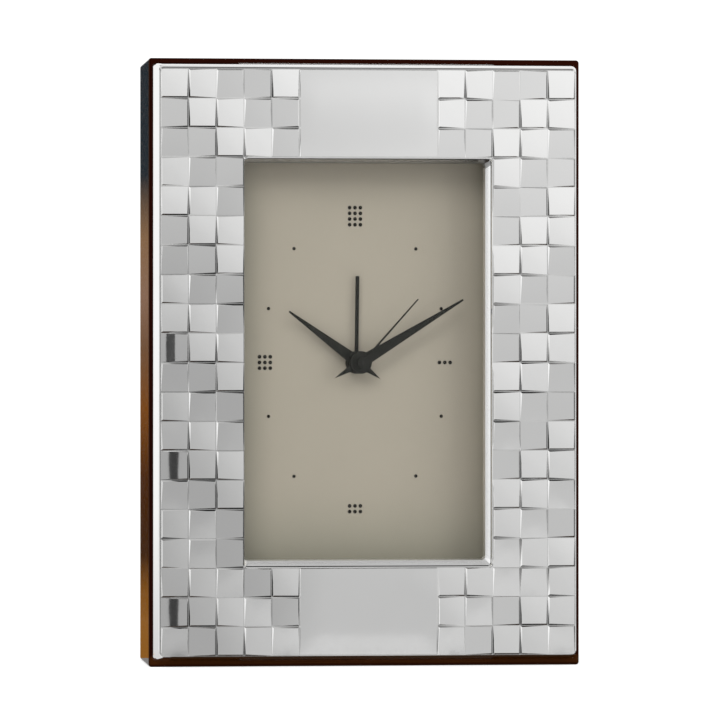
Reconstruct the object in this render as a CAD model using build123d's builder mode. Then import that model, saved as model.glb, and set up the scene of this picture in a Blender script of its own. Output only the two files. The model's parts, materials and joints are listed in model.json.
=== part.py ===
"""Photo frame clock: a lacquered wood frame with an embossed silver mosaic front, a dial
with four hands, a battery movement on its back board and a folding wire stand.

The clock leans back on its own bottom face. Most pieces are drawn in the clock's own
plane: across to the right, up along the front, and depth out of the front, counted from
the wood's rear face, with the hand axis as the origin.
"""
import math
import os

from build123d import *

os.makedirs("parts", exist_ok=True)

# The front, its lean, and the gaps that every fit shares
front_width = 120
front_height = 160
lean = 8
running_gap = 0.05
seat_gap = 0.05
press_gap = 0.02
overrun = 4

# The wood frame, whose four sides draw in towards the back by the lean
wood_depth = 12.5
wood_edge_radius = 0.5
wood_corner_radius = 0.8
window_width = 78
window_height = 116.6
glass_seat_depth = 1.7
glass_seat_width = 1.5
board_recess = 3.2
board_ledge = 6
board_ledge_high = 6.7

# The silver sheet over the front, pressed over a resin core
silver_margin = 1.2
silver_side_run = 0.75
silver_end_run = 1.4
silver_relief = 2.8
silver_wall = 0.6
silver_corner = 1.2
flank_run = 1.48
tile_columns = 15
tile_rows = 20
window_columns = 9
window_rows = 14
band_columns = 5
tile_groove = 0.1
tile_rise = 0.3
tile_lean = 3.3
tile_draft = 40
band_rise = 0.25
rim_width = 0.5

# Glass, spacer, dial and the printed dots
glass_thickness = 1.6
lining_gap = 0.3
spacer_wall = 1.2
dial_thickness = 0.8
dial_hole_radius = 2.65
dot_thickness = 0.1
dot_radius = 0.5
hour_dot_radius = 0.45
dot_pitch = 1.5
twelve_height = 38.6
three_reach = 25.1
twelve_dot_columns = 3
twelve_dot_rows = 4
six_dot_rows = 2
three_dot_columns = 3
nine_dot_rows = 3
hour_dot_near = (17, 30)
hour_dot_far = (24.1, 14.2)

# The back board, its screws, and the driver slots of every screw as shares of its head
driver_length_share = 1.4
driver_width_share = 0.25
board_thickness = 3
board_hole_radius = 2.9
board_screw_radius = 0.8
board_screw_head_radius = 1.8
board_screw_head = 1.1
board_screw_length = 6.6
board_screw_inset = 2.6

# Hands: the angle clockwise from twelve, the length, and the height over the dial as a
# share of the space under the glass
alarm_hand_angle = 0.8
hour_hand_angle = 305
minute_hand_angle = 60
second_hand_angle = 43
alarm_hand_length = 22.8
alarm_hand_width = 0.95
alarm_hand_height_share = 0.145
hour_hand_length = 23.4
hour_hand_tail = 7.6
hour_hand_width = 3.2
hour_hand_height_share = 0.35
minute_hand_length = 33.1
minute_hand_tail = 8.2
minute_hand_width = 3.3
minute_hand_height_share = 0.64
second_hand_length = 22.8
second_hand_width = 0.55
second_hand_height_share = 0.86
hand_thickness = 0.3
hand_tip_width = 0.45
tail_width = 2.7
hub_radius = 3
second_hub_radius = 1.5
hub_thickness = 0.7

# Pipes and arbors on the hand axis
second_arbor_radius = 0.5
minute_pipe_radius = 1.1
hour_pipe_radius = 1.75
alarm_pipe_radius = 2.4
small_arbor_radius = 0.4
knob_arbor_radius = 0.6

# The movement's case, whose width comes from the cell that it holds
case_wall = 1.5
case_depth = 16
case_corner = 3
partition = 1.5
ear_width = 10
ear_reach = 6.5
ear_hole_inset = 3.2
case_screw_radius = 0.9
case_screw_head_radius = 1.9
case_screw_head = 1.2
case_screw_length = 4.2
post_radius = 2.2
post_inset = 1.5
cover_screw_radius = 0.7
cover_screw_head_radius = 1.4
cover_screw_head = 0.8
cover_screw_length = 5.5
bearing_depth = 0.9
seat_hole_depth = 0.7
thumb_radius = 6

# Gear teeth: module is in mm, shares are of the module or of one tooth's pitch
hand_module = 0.35
train_module = 0.25
rotor_module = 0.2
tip_height_share = 0.8
root_depth_share = 1.3
tip_half_share = 0.09
root_half_share = 0.24
alarm_wheel_teeth = 32
alarm_pinion_teeth = 20
hour_wheel_teeth = 32
motion_pinion_teeth = 8
motion_wheel_teeth = 30
cannon_teeth = 10
setting_teeth = 10
centre_wheel_teeth = 64
third_pinion_teeth = 8
third_wheel_teeth = 60
second_pinion_teeth = 8
second_wheel_teeth = 50
intermediate_pinion_teeth = 10
intermediate_wheel_teeth = 48
rotor_pinion_teeth = 8

# Direction of each axis from the one that it meshes with, anticlockwise from the right
alarm_direction = 60
motion_direction = 200
third_direction = 120
intermediate_direction = 15
rotor_direction = -20

# Gear thicknesses, the space between layers, and the plate between the two trains
wheel_thickness = 0.8
thin_wheel_thickness = 0.6
pinion_margin = 0.1
layer_gap = 0.1
train_plate_thickness = 0.6
plate_left = -12.2
plate_right = 15.5
plate_low = -10
plate_high = 21
pillar_radius = 1.5
pillar_inset = 2.2

# The motor: rotor magnet, stator and coil
rotor_radius = 2
rotor_length = 1.8
stator_hole_radius = 2.5
stator_thickness = 0.8
stator_width = 15
stator_height = 25
stator_left = 4
stator_below = 3.5
stator_slot = 0.3
coil_leg = 2
coil_leg_inset = 1
stator_arm = 3
bobbin_wall = 0.4
bobbin_flange = 0.8
bobbin_depth = 4
bobbin_width = 6
winding_depth = 3.2
winding_width = 5.2
winding_corner = 1.2

# The circuit, buzzer, contacts and alarm switch
circuit_width = 10.2
circuit_height = 12.5
circuit_thickness = 0.8
circuit_below = 5.2
circuit_wall_gap = 0.3
chip_radius = 2
chip_height = 0.8
crystal_radius = 1
crystal_length = 6
buzzer_radius = 8
buzzer_thickness = 0.9
buzzer_spot = (-16.5, 16)
switch_spot = (15.5, -7)
switch_travel = 3
switch_button_width = 5
switch_button_height = 3.4
switch_button_depth = 1.8
switch_stem = 2.4
switch_plate = 1
alarm_contact_thickness = 0.4
alarm_contact_width = 1.6
alarm_contact_reach = 6
cell_radius = 7.25
cell_length = 48.5
nub_radius = 2.75
nub_length = 1.8
cell_wall_gap = 0.2
cell_side_gap = 0.125
contact_thickness = 0.4
contact_width = 10
contact_height = 10
spring_rise = 1.2
nub_pad = 0.5

# Setting knobs
knob_radius = 4.5
knob_thickness = 3
knob_flutes = 18
flute_radius = 0.45
knob_gap = 0.2

# The wire stand, its clips and its rubber sleeve
wire_radius = 1.25
sleeve_radius = 2
sleeve_length = 40
stand_open = 16
pivot_inset = 27
pivot_stand_off = 2.4
clip_side_gap = 3.5
tip_side_gap = 4
leg_corner = 6
pivot_corner = 2
stop_gap = 0.1
clip_width = 3.6
clip_wall = 1
clip_flange = 9
clip_screw_height = 6.2
clip_screw_radius = 0.7
clip_screw_head_radius = 1.5
clip_screw_head = 0.9
clip_screw_length = 3.4

# The cover's sound slots
slot_length = 8
slot_width = 1
slot_count = 5
slot_pitch = 2.2

# The clock's plane, with its origin on the hand axis at the wood's rear face
lean_sine = math.sin(math.radians(lean))
lean_cosine = math.cos(math.radians(lean))
stand_tilt = stand_open - lean
axis_height = front_height / 2
pivot_height = window_height / 2 + board_ledge_high - pivot_inset
stand_pivot_up = axis_height + pivot_height
base_drop = wood_depth * lean_sine
pivot_z = stand_pivot_up * lean_cosine - pivot_stand_off * lean_sine - base_drop
leg_length = (pivot_z - sleeve_radius) / math.cos(math.radians(stand_tilt))
field_width = front_width - 2 * (silver_margin + silver_side_run)
field_height = front_height - 2 * (silver_margin + silver_end_run)
tile_across = field_width / tile_columns
tile_up = field_height / tile_rows
tile_top = tile_rise + tile_up / 2 * math.tan(math.radians(tile_lean))
front_reach = (wood_depth + silver_relief + tile_top) * lean_cosine
rear_reach = (stand_pivot_up * lean_sine + pivot_stand_off * lean_cosine
              + leg_length * math.sin(math.radians(stand_tilt)) + sleeve_radius)
base_y = (front_reach - rear_reach) / 2
axis_plane = Plane(
    origin=(0, base_y + axis_height * lean_sine, axis_height * lean_cosine - base_drop),
    x_dir=(1, 0, 0),
    z_dir=(0, -lean_cosine, lean_sine),
)
depth_axis = Axis(axis_plane.origin, axis_plane.z_dir)


def layer(depth, spot=(0, 0), turn=0):
    """The clock's plane at a depth, moved to a spot and turned clockwise."""
    place = axis_plane.offset(depth).from_local_coords((spot[0], spot[1], 0))
    radians = math.radians(turn)
    across = axis_plane.x_dir * math.cos(radians) - axis_plane.y_dir * math.sin(radians)
    return Plane(origin=place, x_dir=across, z_dir=axis_plane.z_dir)


def polar(radius, angle):
    """A point at a distance and an angle, anticlockwise from the right."""
    radians = math.radians(angle)
    return (radius * math.cos(radians), radius * math.sin(radians))


def step_from(spot, distance, angle):
    """The spot that lies at a distance and an angle from another one."""
    step = polar(distance, angle)
    return (spot[0] + step[0], spot[1] + step[1])


def mesh_distance(first_teeth, second_teeth, module):
    """How far apart the axes of two meshed gears lie."""
    return (first_teeth + second_teeth) * module / 2


def rectangle_face(plane, width, height, corner=0):
    """A rectangle, square cornered or rounded, centred on a plane."""
    with BuildSketch(plane) as face:
        if corner > 0:
            RectangleRounded(width, height, corner)
        else:
            Rectangle(width, height)
    return face.sketch


def disc_face(plane, radius):
    """A disc centred on a plane."""
    with BuildSketch(plane) as face:
        Circle(radius)
    return face.sketch


def box_face(plane, left, right, low, high):
    """A rectangle given by its four sides."""
    with BuildSketch(plane) as face:
        with Locations(((left + right) / 2, (low + high) / 2)):
            Rectangle(right - left, high - low)
    return face.sketch


def gear_face(plane, teeth, module, aim, gap=False):
    """A gear's outline with a tooth, or a gap, aimed at an angle."""
    pitch = 360 / teeth
    start = aim + pitch / 2 if gap else aim
    tip = module * (teeth / 2 + tip_height_share)
    root = module * (teeth / 2 - root_depth_share)
    corners = (
        (root, -root_half_share),
        (tip, -tip_half_share),
        (tip, tip_half_share),
        (root, root_half_share),
    )
    points = []
    for tooth in range(teeth):
        for radius, share in corners:
            points.append(polar(radius, start + (tooth + share) * pitch))
    with BuildSketch(plane) as face:
        with BuildLine():
            Polyline(*points, close=True)
        make_face()
    return face.sketch


def pointer_face(plane, length, root_width, tip_width):
    """A straight hand that tapers from the axis to its tip."""
    with BuildSketch(plane) as face:
        with BuildLine():
            Polyline(
                (-root_width / 2, 0),
                (-tip_width / 2, length),
                (tip_width / 2, length),
                (root_width / 2, 0),
                close=True,
            )
        make_face()
    return face.sketch


def tail_face(plane, length):
    """The pointed tail of a hand."""
    with BuildSketch(plane) as face:
        with BuildLine():
            Polyline((-tail_width / 2, 0), (0, -length), (tail_width / 2, 0), close=True)
        make_face()
    return face.sketch


# Places that the pieces share
silver_base = wood_depth
sheet_top = wood_depth + silver_relief
silver_width = front_width - 2 * silver_margin
silver_height = front_height - 2 * silver_margin
opening_width = window_columns * tile_across
opening_height = window_rows * tile_up
board_width = window_width + 2 * board_ledge
board_height = window_height + 2 * board_ledge_high
board_rear = board_recess - board_thickness
dial_front = board_recess + dial_thickness
glass_rear = wood_depth - glass_seat_depth + seat_gap
hand_space = glass_rear - dial_front
alarm_hand_height = hand_space * alarm_hand_height_share
hour_hand_height = hand_space * hour_hand_height_share
minute_hand_height = hand_space * minute_hand_height_share
second_hand_height = hand_space * second_hand_height_share
lining_width = window_width - 2 * lining_gap
lining_height = window_height - 2 * lining_gap
case_rear = board_rear - case_depth
wall_rear = board_rear - case_wall
cover_front = case_rear + case_wall
cell_space = cell_length + nub_length + spring_rise + 2 * contact_thickness + cell_wall_gap + nub_pad
room_half = cell_space / 2
case_size = cell_space + 2 * case_wall
bay_top = 2 * (cell_radius + cell_side_gap) - room_half
room_floor = bay_top + partition
alarm_layer = layer_gap + pinion_margin + wheel_thickness - wall_rear
hour_layer = alarm_layer + layer_gap + 2 * pinion_margin + wheel_thickness
motion_layer = hour_layer + 4 * layer_gap + wheel_thickness
centre_layer = motion_layer + 4 * layer_gap + wheel_thickness
train_plate_layer = centre_layer + 2.5 * layer_gap + train_plate_thickness
third_layer = train_plate_layer + 3.5 * layer_gap + thin_wheel_thickness
second_layer = third_layer + 10 * layer_gap + thin_wheel_thickness
intermediate_layer = second_layer + 8 * layer_gap + thin_wheel_thickness
rotor_layer = intermediate_layer + 6 * layer_gap + rotor_length
stator_layer = rotor_layer - (rotor_length - stator_thickness) / 2
circuit_layer = -cover_front - circuit_thickness - 2 * crystal_radius - 5 * layer_gap
third_module = (
    mesh_distance(centre_wheel_teeth, third_pinion_teeth, train_module)
    * 2 / (third_wheel_teeth + second_pinion_teeth))
clip_centre = (case_size + board_width) / 4
leg_spread = clip_centre - clip_side_gap
pivot_reach = clip_centre + tip_side_gap
alarm_spot = polar(mesh_distance(alarm_wheel_teeth, alarm_pinion_teeth, hand_module), alarm_direction)
motion_spot = polar(mesh_distance(cannon_teeth, motion_wheel_teeth, hand_module), motion_direction)
setting_spot = step_from(
    motion_spot, mesh_distance(motion_wheel_teeth, setting_teeth, hand_module), motion_direction)
third_spot = polar(mesh_distance(centre_wheel_teeth, third_pinion_teeth, train_module), third_direction)
intermediate_spot = polar(
    mesh_distance(second_wheel_teeth, intermediate_pinion_teeth, train_module),
    intermediate_direction)
rotor_spot = step_from(
    intermediate_spot,
    mesh_distance(intermediate_wheel_teeth, rotor_pinion_teeth, rotor_module),
    rotor_direction)
post_reach = room_half - post_inset
posts = [
    (-post_reach, post_reach),
    (post_reach, post_reach),
    (-post_reach, room_floor + post_inset),
    (post_reach, room_floor + post_inset),
]
pillars = [
    (plate_left + pillar_inset, plate_high - pillar_inset),
    (plate_right - pillar_inset, plate_low + pillar_inset),
    (plate_right - pillar_inset, plate_high - pillar_inset),
]
circuit_left = circuit_wall_gap - room_half
circuit_pegs = [
    (circuit_left + pillar_inset, circuit_height - circuit_below - pillar_inset),
    (circuit_left + circuit_width - pillar_inset, pillar_inset - circuit_below),
]
ear_screw_spots = [
    (0, case_size / 2 + ear_hole_inset),
    (0, -case_size / 2 - ear_hole_inset),
]
board_screw_across = board_width / 2 - board_screw_inset
board_screw_up = board_height / 2 - board_screw_inset
board_screw_spots = [
    (side * board_screw_across, level * board_screw_up)
    for side in (-1, 1)
    for level in (-1, 0, 1)
]
clip_screw_spots = [
    (side * clip_centre, pivot_height + clip_screw_height) for side in (-1, 1)
]

# Wood frame, with the window, the glass rebate in front and the board's rebate behind
with BuildPart() as wood_frame:
    extrude(rectangle_face(layer(0), front_width, front_height), amount=wood_depth)
    for turn in (0, 90, 180, 270):
        edge_reach = front_width / 2 if turn % 180 else front_height / 2
        front_plane = layer(wood_depth, turn=turn)
        side_plane = Plane(
            origin=front_plane.from_local_coords((0, edge_reach, 0)),
            x_dir=front_plane.x_dir,
            z_dir=front_plane.y_dir * lean_cosine - front_plane.z_dir * lean_sine,
        )
        split(bisect_by=side_plane, keep=Keep.BOTTOM)
    fillet(wood_frame.edges().group_by(depth_axis)[1], wood_corner_radius)
    fillet(wood_frame.edges().group_by(depth_axis)[-1], wood_edge_radius)
    extrude(
        rectangle_face(layer(-overrun), window_width, window_height),
        amount=wood_depth + 2 * overrun,
        mode=Mode.SUBTRACT,
    )
    extrude(
        rectangle_face(
            layer(wood_depth - glass_seat_depth),
            window_width + 2 * glass_seat_width,
            window_height + 2 * glass_seat_width,
        ),
        amount=glass_seat_depth + overrun,
        mode=Mode.SUBTRACT,
    )
    extrude(
        rectangle_face(layer(board_recess), board_width, board_height),
        amount=-board_recess - overrun,
        mode=Mode.SUBTRACT,
    )
    with Locations(layer(board_recess)):
        with Locations(*board_screw_spots):
            Cylinder(
                board_screw_radius + press_gap,
                2 * (board_screw_length - board_thickness + seat_gap),
                mode=Mode.SUBTRACT,
            )
wood_frame.part.label = "wood_frame"
export_step(wood_frame.part, "parts/wood_frame.step")


def tile_wedge(quarter):
    """One tile at the origin, whose face leans up, left, down or right."""
    up_lean = -tile_lean * (1 - quarter) if quarter % 2 == 0 else 0
    side_lean = tile_lean * (quarter - 2) if quarter % 2 == 1 else 0
    with BuildPart() as wedge:
        with BuildSketch():
            Rectangle(tile_across - 2 * tile_groove, tile_up - 2 * tile_groove)
        extrude(amount=3 * tile_rise, taper=tile_draft)
        face_plane = Plane.XY.offset(tile_rise).rotated((up_lean, side_lean, 0))
        split(bisect_by=face_plane, keep=Keep.BOTTOM)
    return wedge.part


def tile_spots(quarter):
    """Tiles whose faces lean one way: the ways step round along each row and column."""
    spots = []
    for row in range(tile_rows):
        for column in range(tile_columns):
            from_left = min(column, tile_columns - 1 - column)
            from_top = min(row, tile_rows - 1 - row)
            mirrored = column > from_left
            margin_columns = (tile_columns - window_columns) / 2
            margin_rows = (tile_rows - window_rows) / 2
            band_margin = (tile_columns - band_columns) / 2
            in_window = from_left >= margin_columns and from_top >= margin_rows
            in_band = from_left >= band_margin and from_top < margin_rows
            way = (row - from_left) % 4
            if mirrored and way % 2 == 1:
                way = 4 - way
            if not in_window and not in_band and way == quarter:
                across = (column - (tile_columns - 1) / 2) * tile_across
                up = ((tile_rows - 1) / 2 - row) * tile_up
                spots.append((across, up))
    return spots


# Silver sheet, pressed over the core, with its tiles, two plain bands and a raised rim
with BuildPart(layer(sheet_top)) as silver_front:
    loft(
        [
            rectangle_face(layer(silver_base), silver_width, silver_height, silver_corner),
            rectangle_face(layer(sheet_top), field_width, field_height, silver_corner),
        ],
        ruled=True,
    )
    loft(
        [
            rectangle_face(
                layer(silver_base), silver_width - 2 * silver_wall, silver_height - 2 * silver_wall),
            rectangle_face(
                layer(sheet_top - silver_wall),
                field_width - 2 * silver_wall,
                field_height - 2 * silver_wall,
            ),
        ],
        ruled=True,
        mode=Mode.SUBTRACT,
    )
    inner_width = opening_width - 2 * flank_run
    inner_height = opening_height - 2 * flank_run
    loft(
        [
            rectangle_face(
                layer(silver_base), inner_width + 2 * silver_wall, inner_height + 2 * silver_wall),
            rectangle_face(
                layer(sheet_top - silver_wall),
                opening_width + 2 * silver_wall,
                opening_height + 2 * silver_wall,
            ),
        ],
        ruled=True,
    )
    loft(
        [
            rectangle_face(layer(silver_base), inner_width, inner_height),
            rectangle_face(layer(sheet_top), opening_width, opening_height),
        ],
        ruled=True,
        mode=Mode.SUBTRACT,
    )
    extrude(
        rectangle_face(layer(sheet_top), field_width, field_height, silver_corner)
        - rectangle_face(layer(sheet_top), field_width - 2 * rim_width, field_height - 2 * rim_width),
        amount=band_rise,
    )
    for side in (-1, 1):
        band_height = (tile_rows - window_rows) / 2 * tile_up
        band_middle = side * (opening_height + band_height) / 2
        extrude(
            rectangle_face(
                layer(sheet_top, (0, band_middle)),
                band_columns * tile_across - 2 * tile_groove,
                band_height - 2 * tile_groove,
            ),
            amount=band_rise,
        )
    for quarter in range(4):
        with Locations(*tile_spots(quarter)):
            add(tile_wedge(quarter))
silver_front.part.label = "silver_front"
export_step(silver_front.part, "parts/silver_front.step")

# Resin core that backs the sheet and lies on the wood and the glass's edge
core_wall = silver_wall + seat_gap
with BuildPart() as front_core:
    loft(
        [
            rectangle_face(layer(silver_base), silver_width - 2 * core_wall, silver_height - 2 * core_wall),
            rectangle_face(
                layer(sheet_top - core_wall),
                field_width - 2 * core_wall,
                field_height - 2 * core_wall,
            ),
        ],
        ruled=True,
    )
    loft(
        [
            rectangle_face(layer(silver_base), inner_width + 2 * core_wall, inner_height + 2 * core_wall),
            rectangle_face(
                layer(sheet_top - core_wall),
                opening_width + 2 * core_wall,
                opening_height + 2 * core_wall,
            ),
        ],
        ruled=True,
        mode=Mode.SUBTRACT,
    )
front_core.part.label = "front_core"
export_step(front_core.part, "parts/front_core.step")

# Flat glass in the wood's front rebate
with BuildPart() as dial_glass:
    extrude(
        rectangle_face(
            layer(glass_rear),
            window_width + 2 * (glass_seat_width - lining_gap),
            window_height + 2 * (glass_seat_width - lining_gap),
        ),
        amount=glass_thickness,
    )
dial_glass.part.label = "dial_glass"
export_step(dial_glass.part, "parts/dial_glass.step")

# Spacer that lines the window between the dial and the glass
with BuildPart() as glass_spacer:
    extrude(
        rectangle_face(layer(dial_front), lining_width, lining_height)
        - rectangle_face(
            layer(dial_front), lining_width - 2 * spacer_wall, lining_height - 2 * spacer_wall),
        amount=glass_rear - dial_front - seat_gap,
    )
glass_spacer.part.label = "glass_spacer"
export_step(glass_spacer.part, "parts/glass_spacer.step")

# Dial plate with the hole for the hand pipes
with BuildPart() as dial:
    extrude(
        rectangle_face(layer(board_recess), lining_width, lining_height)
        - disc_face(layer(board_recess), dial_hole_radius),
        amount=dial_thickness,
    )
dial.part.label = "dial"
export_step(dial.part, "parts/dial.step")


def dot_block(centre, across, down):
    """Places of a block of dots round its centre."""
    places = []
    for column in range(across):
        for row in range(down):
            right = centre[0] + (column - (across - 1) / 2) * dot_pitch
            up = centre[1] + (row - (down - 1) / 2) * dot_pitch
            places.append((right, up))
    return places


# Printed hour dots: four blocks at the quarters and one dot at each other hour
with BuildPart(layer(dial_front + dot_thickness / 2)) as dial_dots:
    blocks = dot_block((0, twelve_height), twelve_dot_columns, twelve_dot_rows)
    blocks += dot_block((0, -twelve_height), twelve_dot_columns, six_dot_rows)
    blocks += dot_block((three_reach, 0), three_dot_columns, 1)
    blocks += dot_block((-three_reach, 0), three_dot_columns, nine_dot_rows)
    singles = [
        (side * spot[0], level * spot[1])
        for spot in (hour_dot_near, hour_dot_far)
        for side in (-1, 1)
        for level in (-1, 1)
    ]
    with Locations(*blocks):
        Cylinder(dot_radius, dot_thickness)
    with Locations(*singles):
        Cylinder(hour_dot_radius, dot_thickness)
dial_dots.part.label = "dial_dots"
export_step(dial_dots.part, "parts/dial_dots.step")

# Back board in the rear rebate, with holes for the pipes and for each screw
with BuildPart(layer(board_rear)) as back_board:
    extrude(
        rectangle_face(
            layer(board_rear), board_width - 2 * lining_gap, board_height - 2 * lining_gap),
        amount=board_thickness,
    )
    extrude(
        disc_face(layer(board_rear), board_hole_radius),
        amount=board_thickness,
        mode=Mode.SUBTRACT,
    )
    with Locations(*board_screw_spots):
        Hole(board_screw_radius + running_gap)
    with Locations(*ear_screw_spots):
        Cylinder(
            case_screw_radius + press_gap,
            2 * (case_screw_length - case_wall + seat_gap),
            mode=Mode.SUBTRACT,
        )
    with Locations(*clip_screw_spots):
        Cylinder(
            clip_screw_radius + press_gap,
            2 * (clip_screw_length - clip_wall + seat_gap),
            mode=Mode.SUBTRACT,
        )
back_board.part.label = "back_board"
export_step(back_board.part, "parts/back_board.step")


def add_screws(depth, spots, radius, length, head_radius, head):
    """Round headed screws with a cross slot, whose heads lie behind a depth."""
    for spot in spots:
        extrude(disc_face(layer(depth, spot), radius), amount=length)
        extrude(disc_face(layer(depth, spot), head_radius), amount=-head)
        for turn in (0, 90):
            extrude(
                rectangle_face(
                    layer(depth - head, spot, turn),
                    driver_length_share * head_radius,
                    driver_width_share * head_radius,
                ),
                amount=head / 2,
                mode=Mode.SUBTRACT,
            )


# Six screws that hold the board in the wood
with BuildPart() as back_board_screws:
    add_screws(
        board_rear, board_screw_spots, board_screw_radius, board_screw_length,
        board_screw_head_radius, board_screw_head)
back_board_screws.part.label = "back_board_screws"
export_step(back_board_screws.part, "parts/back_board_screws.step")

# Movement case: a gear room above, an open battery bay below and two screw ears
with BuildPart() as movement_case:
    extrude(
        rectangle_face(layer(board_rear), case_size, case_size, case_corner),
        amount=-case_depth,
    )
    extrude(
        box_face(layer(cover_front), -case_size, case_size, bay_top, case_size),
        amount=-case_depth,
        mode=Mode.SUBTRACT,
    )
    extrude(
        box_face(layer(wall_rear), -room_half, room_half, room_floor, room_half),
        amount=-case_depth,
        mode=Mode.SUBTRACT,
    )
    extrude(
        box_face(layer(wall_rear), -room_half, room_half, -room_half, bay_top),
        amount=-case_depth,
        mode=Mode.SUBTRACT,
    )
    extrude(
        disc_face(layer(case_rear, (0, -case_size / 2)), thumb_radius),
        amount=case_depth / 2,
        mode=Mode.SUBTRACT,
    )
    extrude(
        rectangle_face(layer(board_rear), ear_width, case_size + 2 * ear_reach, case_corner),
        amount=-case_wall,
    )
    for spot in posts:
        extrude(disc_face(layer(wall_rear, spot), post_radius), amount=cover_front - wall_rear)
        extrude(
            disc_face(layer(cover_front, spot), cover_screw_radius + press_gap),
            amount=cover_screw_length - case_wall + 2 * seat_gap,
            mode=Mode.SUBTRACT,
        )
    for spot in pillars:
        pillar_rear = train_plate_thickness - train_plate_layer
        extrude(disc_face(layer(wall_rear, spot), pillar_radius), amount=pillar_rear - wall_rear)
        extrude(
            disc_face(layer(pillar_rear, spot), cover_screw_radius + press_gap),
            amount=pillar_rear * -0.5,
            mode=Mode.SUBTRACT,
        )
    for spot in circuit_pegs:
        extrude(disc_face(layer(wall_rear, spot), pillar_radius), amount=-circuit_layer - wall_rear)
    motion_pin_rear = -motion_layer - pinion_margin
    extrude(
        disc_face(layer(wall_rear, motion_spot), small_arbor_radius), amount=motion_pin_rear - wall_rear)
    for spot in (alarm_spot, setting_spot):
        extrude(
            disc_face(layer(wall_rear, spot), knob_arbor_radius + running_gap),
            amount=seat_hole_depth + seat_gap,
            mode=Mode.SUBTRACT,
        )
    for spot in ear_screw_spots:
        extrude(
            disc_face(layer(board_rear, spot), case_screw_radius + running_gap),
            amount=-case_wall,
            mode=Mode.SUBTRACT,
        )
    extrude(
        disc_face(layer(board_rear), alarm_pipe_radius + running_gap),
        amount=-case_wall,
        mode=Mode.SUBTRACT,
    )
movement_case.part.label = "movement_case"
export_step(movement_case.part, "parts/movement_case.step")

# Two screws that hold the case on the board through its ears
with BuildPart() as movement_screws:
    add_screws(
        wall_rear, ear_screw_spots, case_screw_radius, case_screw_length,
        case_screw_head_radius, case_screw_head)
movement_screws.part.label = "movement_screws"
export_step(movement_screws.part, "parts/movement_screws.step")

# Rear cover of the gear room, with bearings, knob holes, sound slots and a switch slot
cover_low = bay_top + seat_gap
cover_top = cover_front - seat_gap
with BuildPart() as movement_cover:
    cover_plate = box_face(layer(case_rear), -case_size / 2, case_size / 2, cover_low, case_size / 2)
    extrude(cover_plate, amount=case_wall - seat_gap)
    fillet(
        movement_cover.edges().filter_by(depth_axis).sort_by(Axis.Z)[-2:],
        case_corner,
    )
    for spot in (third_spot, intermediate_spot, rotor_spot):
        extrude(
            disc_face(layer(cover_top, spot), small_arbor_radius + running_gap),
            amount=-bearing_depth - seat_gap,
            mode=Mode.SUBTRACT,
        )
    extrude(
        disc_face(layer(cover_top), second_arbor_radius + running_gap),
        amount=-bearing_depth - seat_gap,
        mode=Mode.SUBTRACT,
    )
    for spot in (alarm_spot, setting_spot):
        extrude(
            disc_face(layer(case_rear, spot), knob_arbor_radius + running_gap),
            amount=case_wall,
            mode=Mode.SUBTRACT,
        )
    for spot in posts:
        extrude(
            disc_face(layer(case_rear, spot), cover_screw_radius + running_gap),
            amount=case_wall,
            mode=Mode.SUBTRACT,
        )
    for number in range(slot_count):
        level = buzzer_spot[1] + (number - (slot_count - 1) / 2) * slot_pitch
        extrude(
            rectangle_face(
                layer(case_rear, (buzzer_spot[0], level)), slot_length, slot_width, slot_width * 0.49),
            amount=case_wall,
            mode=Mode.SUBTRACT,
        )
    extrude(
        rectangle_face(
            layer(case_rear, (switch_spot[0] + switch_travel / 2, switch_spot[1])),
            switch_stem + switch_travel + 2 * lining_gap,
            switch_stem + 2 * running_gap,
        ),
        amount=case_wall,
        mode=Mode.SUBTRACT,
    )
movement_cover.part.label = "movement_cover"
export_step(movement_cover.part, "parts/movement_cover.step")

# Four screws of the cover and three of the train plate
with BuildPart() as cover_screws:
    add_screws(
        case_rear, posts, cover_screw_radius, cover_screw_length,
        cover_screw_head_radius, cover_screw_head)
cover_screws.part.label = "cover_screws"
export_step(cover_screws.part, "parts/cover_screws.step")

with BuildPart() as train_plate:
    plate_rear = -train_plate_layer - seat_gap
    extrude(
        box_face(layer(plate_rear), plate_left, plate_right, plate_low, plate_high),
        amount=train_plate_thickness,
    )
    for spot, radius in (
        ((0, 0), second_arbor_radius + running_gap),
        (third_spot, small_arbor_radius + running_gap),
        (intermediate_spot, small_arbor_radius + running_gap),
        (rotor_spot, small_arbor_radius + running_gap),
        (alarm_spot, 2 * knob_arbor_radius),
    ):
        extrude(
            disc_face(layer(plate_rear, spot), radius),
            amount=train_plate_thickness,
            mode=Mode.SUBTRACT,
        )
    for spot in pillars:
        extrude(
            disc_face(layer(plate_rear, spot), cover_screw_radius + running_gap),
            amount=train_plate_thickness,
            mode=Mode.SUBTRACT,
        )
train_plate.part.label = "train_plate"
export_step(train_plate.part, "parts/train_plate.step")

with BuildPart() as train_plate_screws:
    add_screws(
        plate_rear, pillars, cover_screw_radius, train_plate_thickness - pillar_rear * 0.4,
        cover_screw_head_radius, cover_screw_head)
train_plate_screws.part.label = "train_plate_screws"
export_step(train_plate_screws.part, "parts/train_plate_screws.step")

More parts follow.
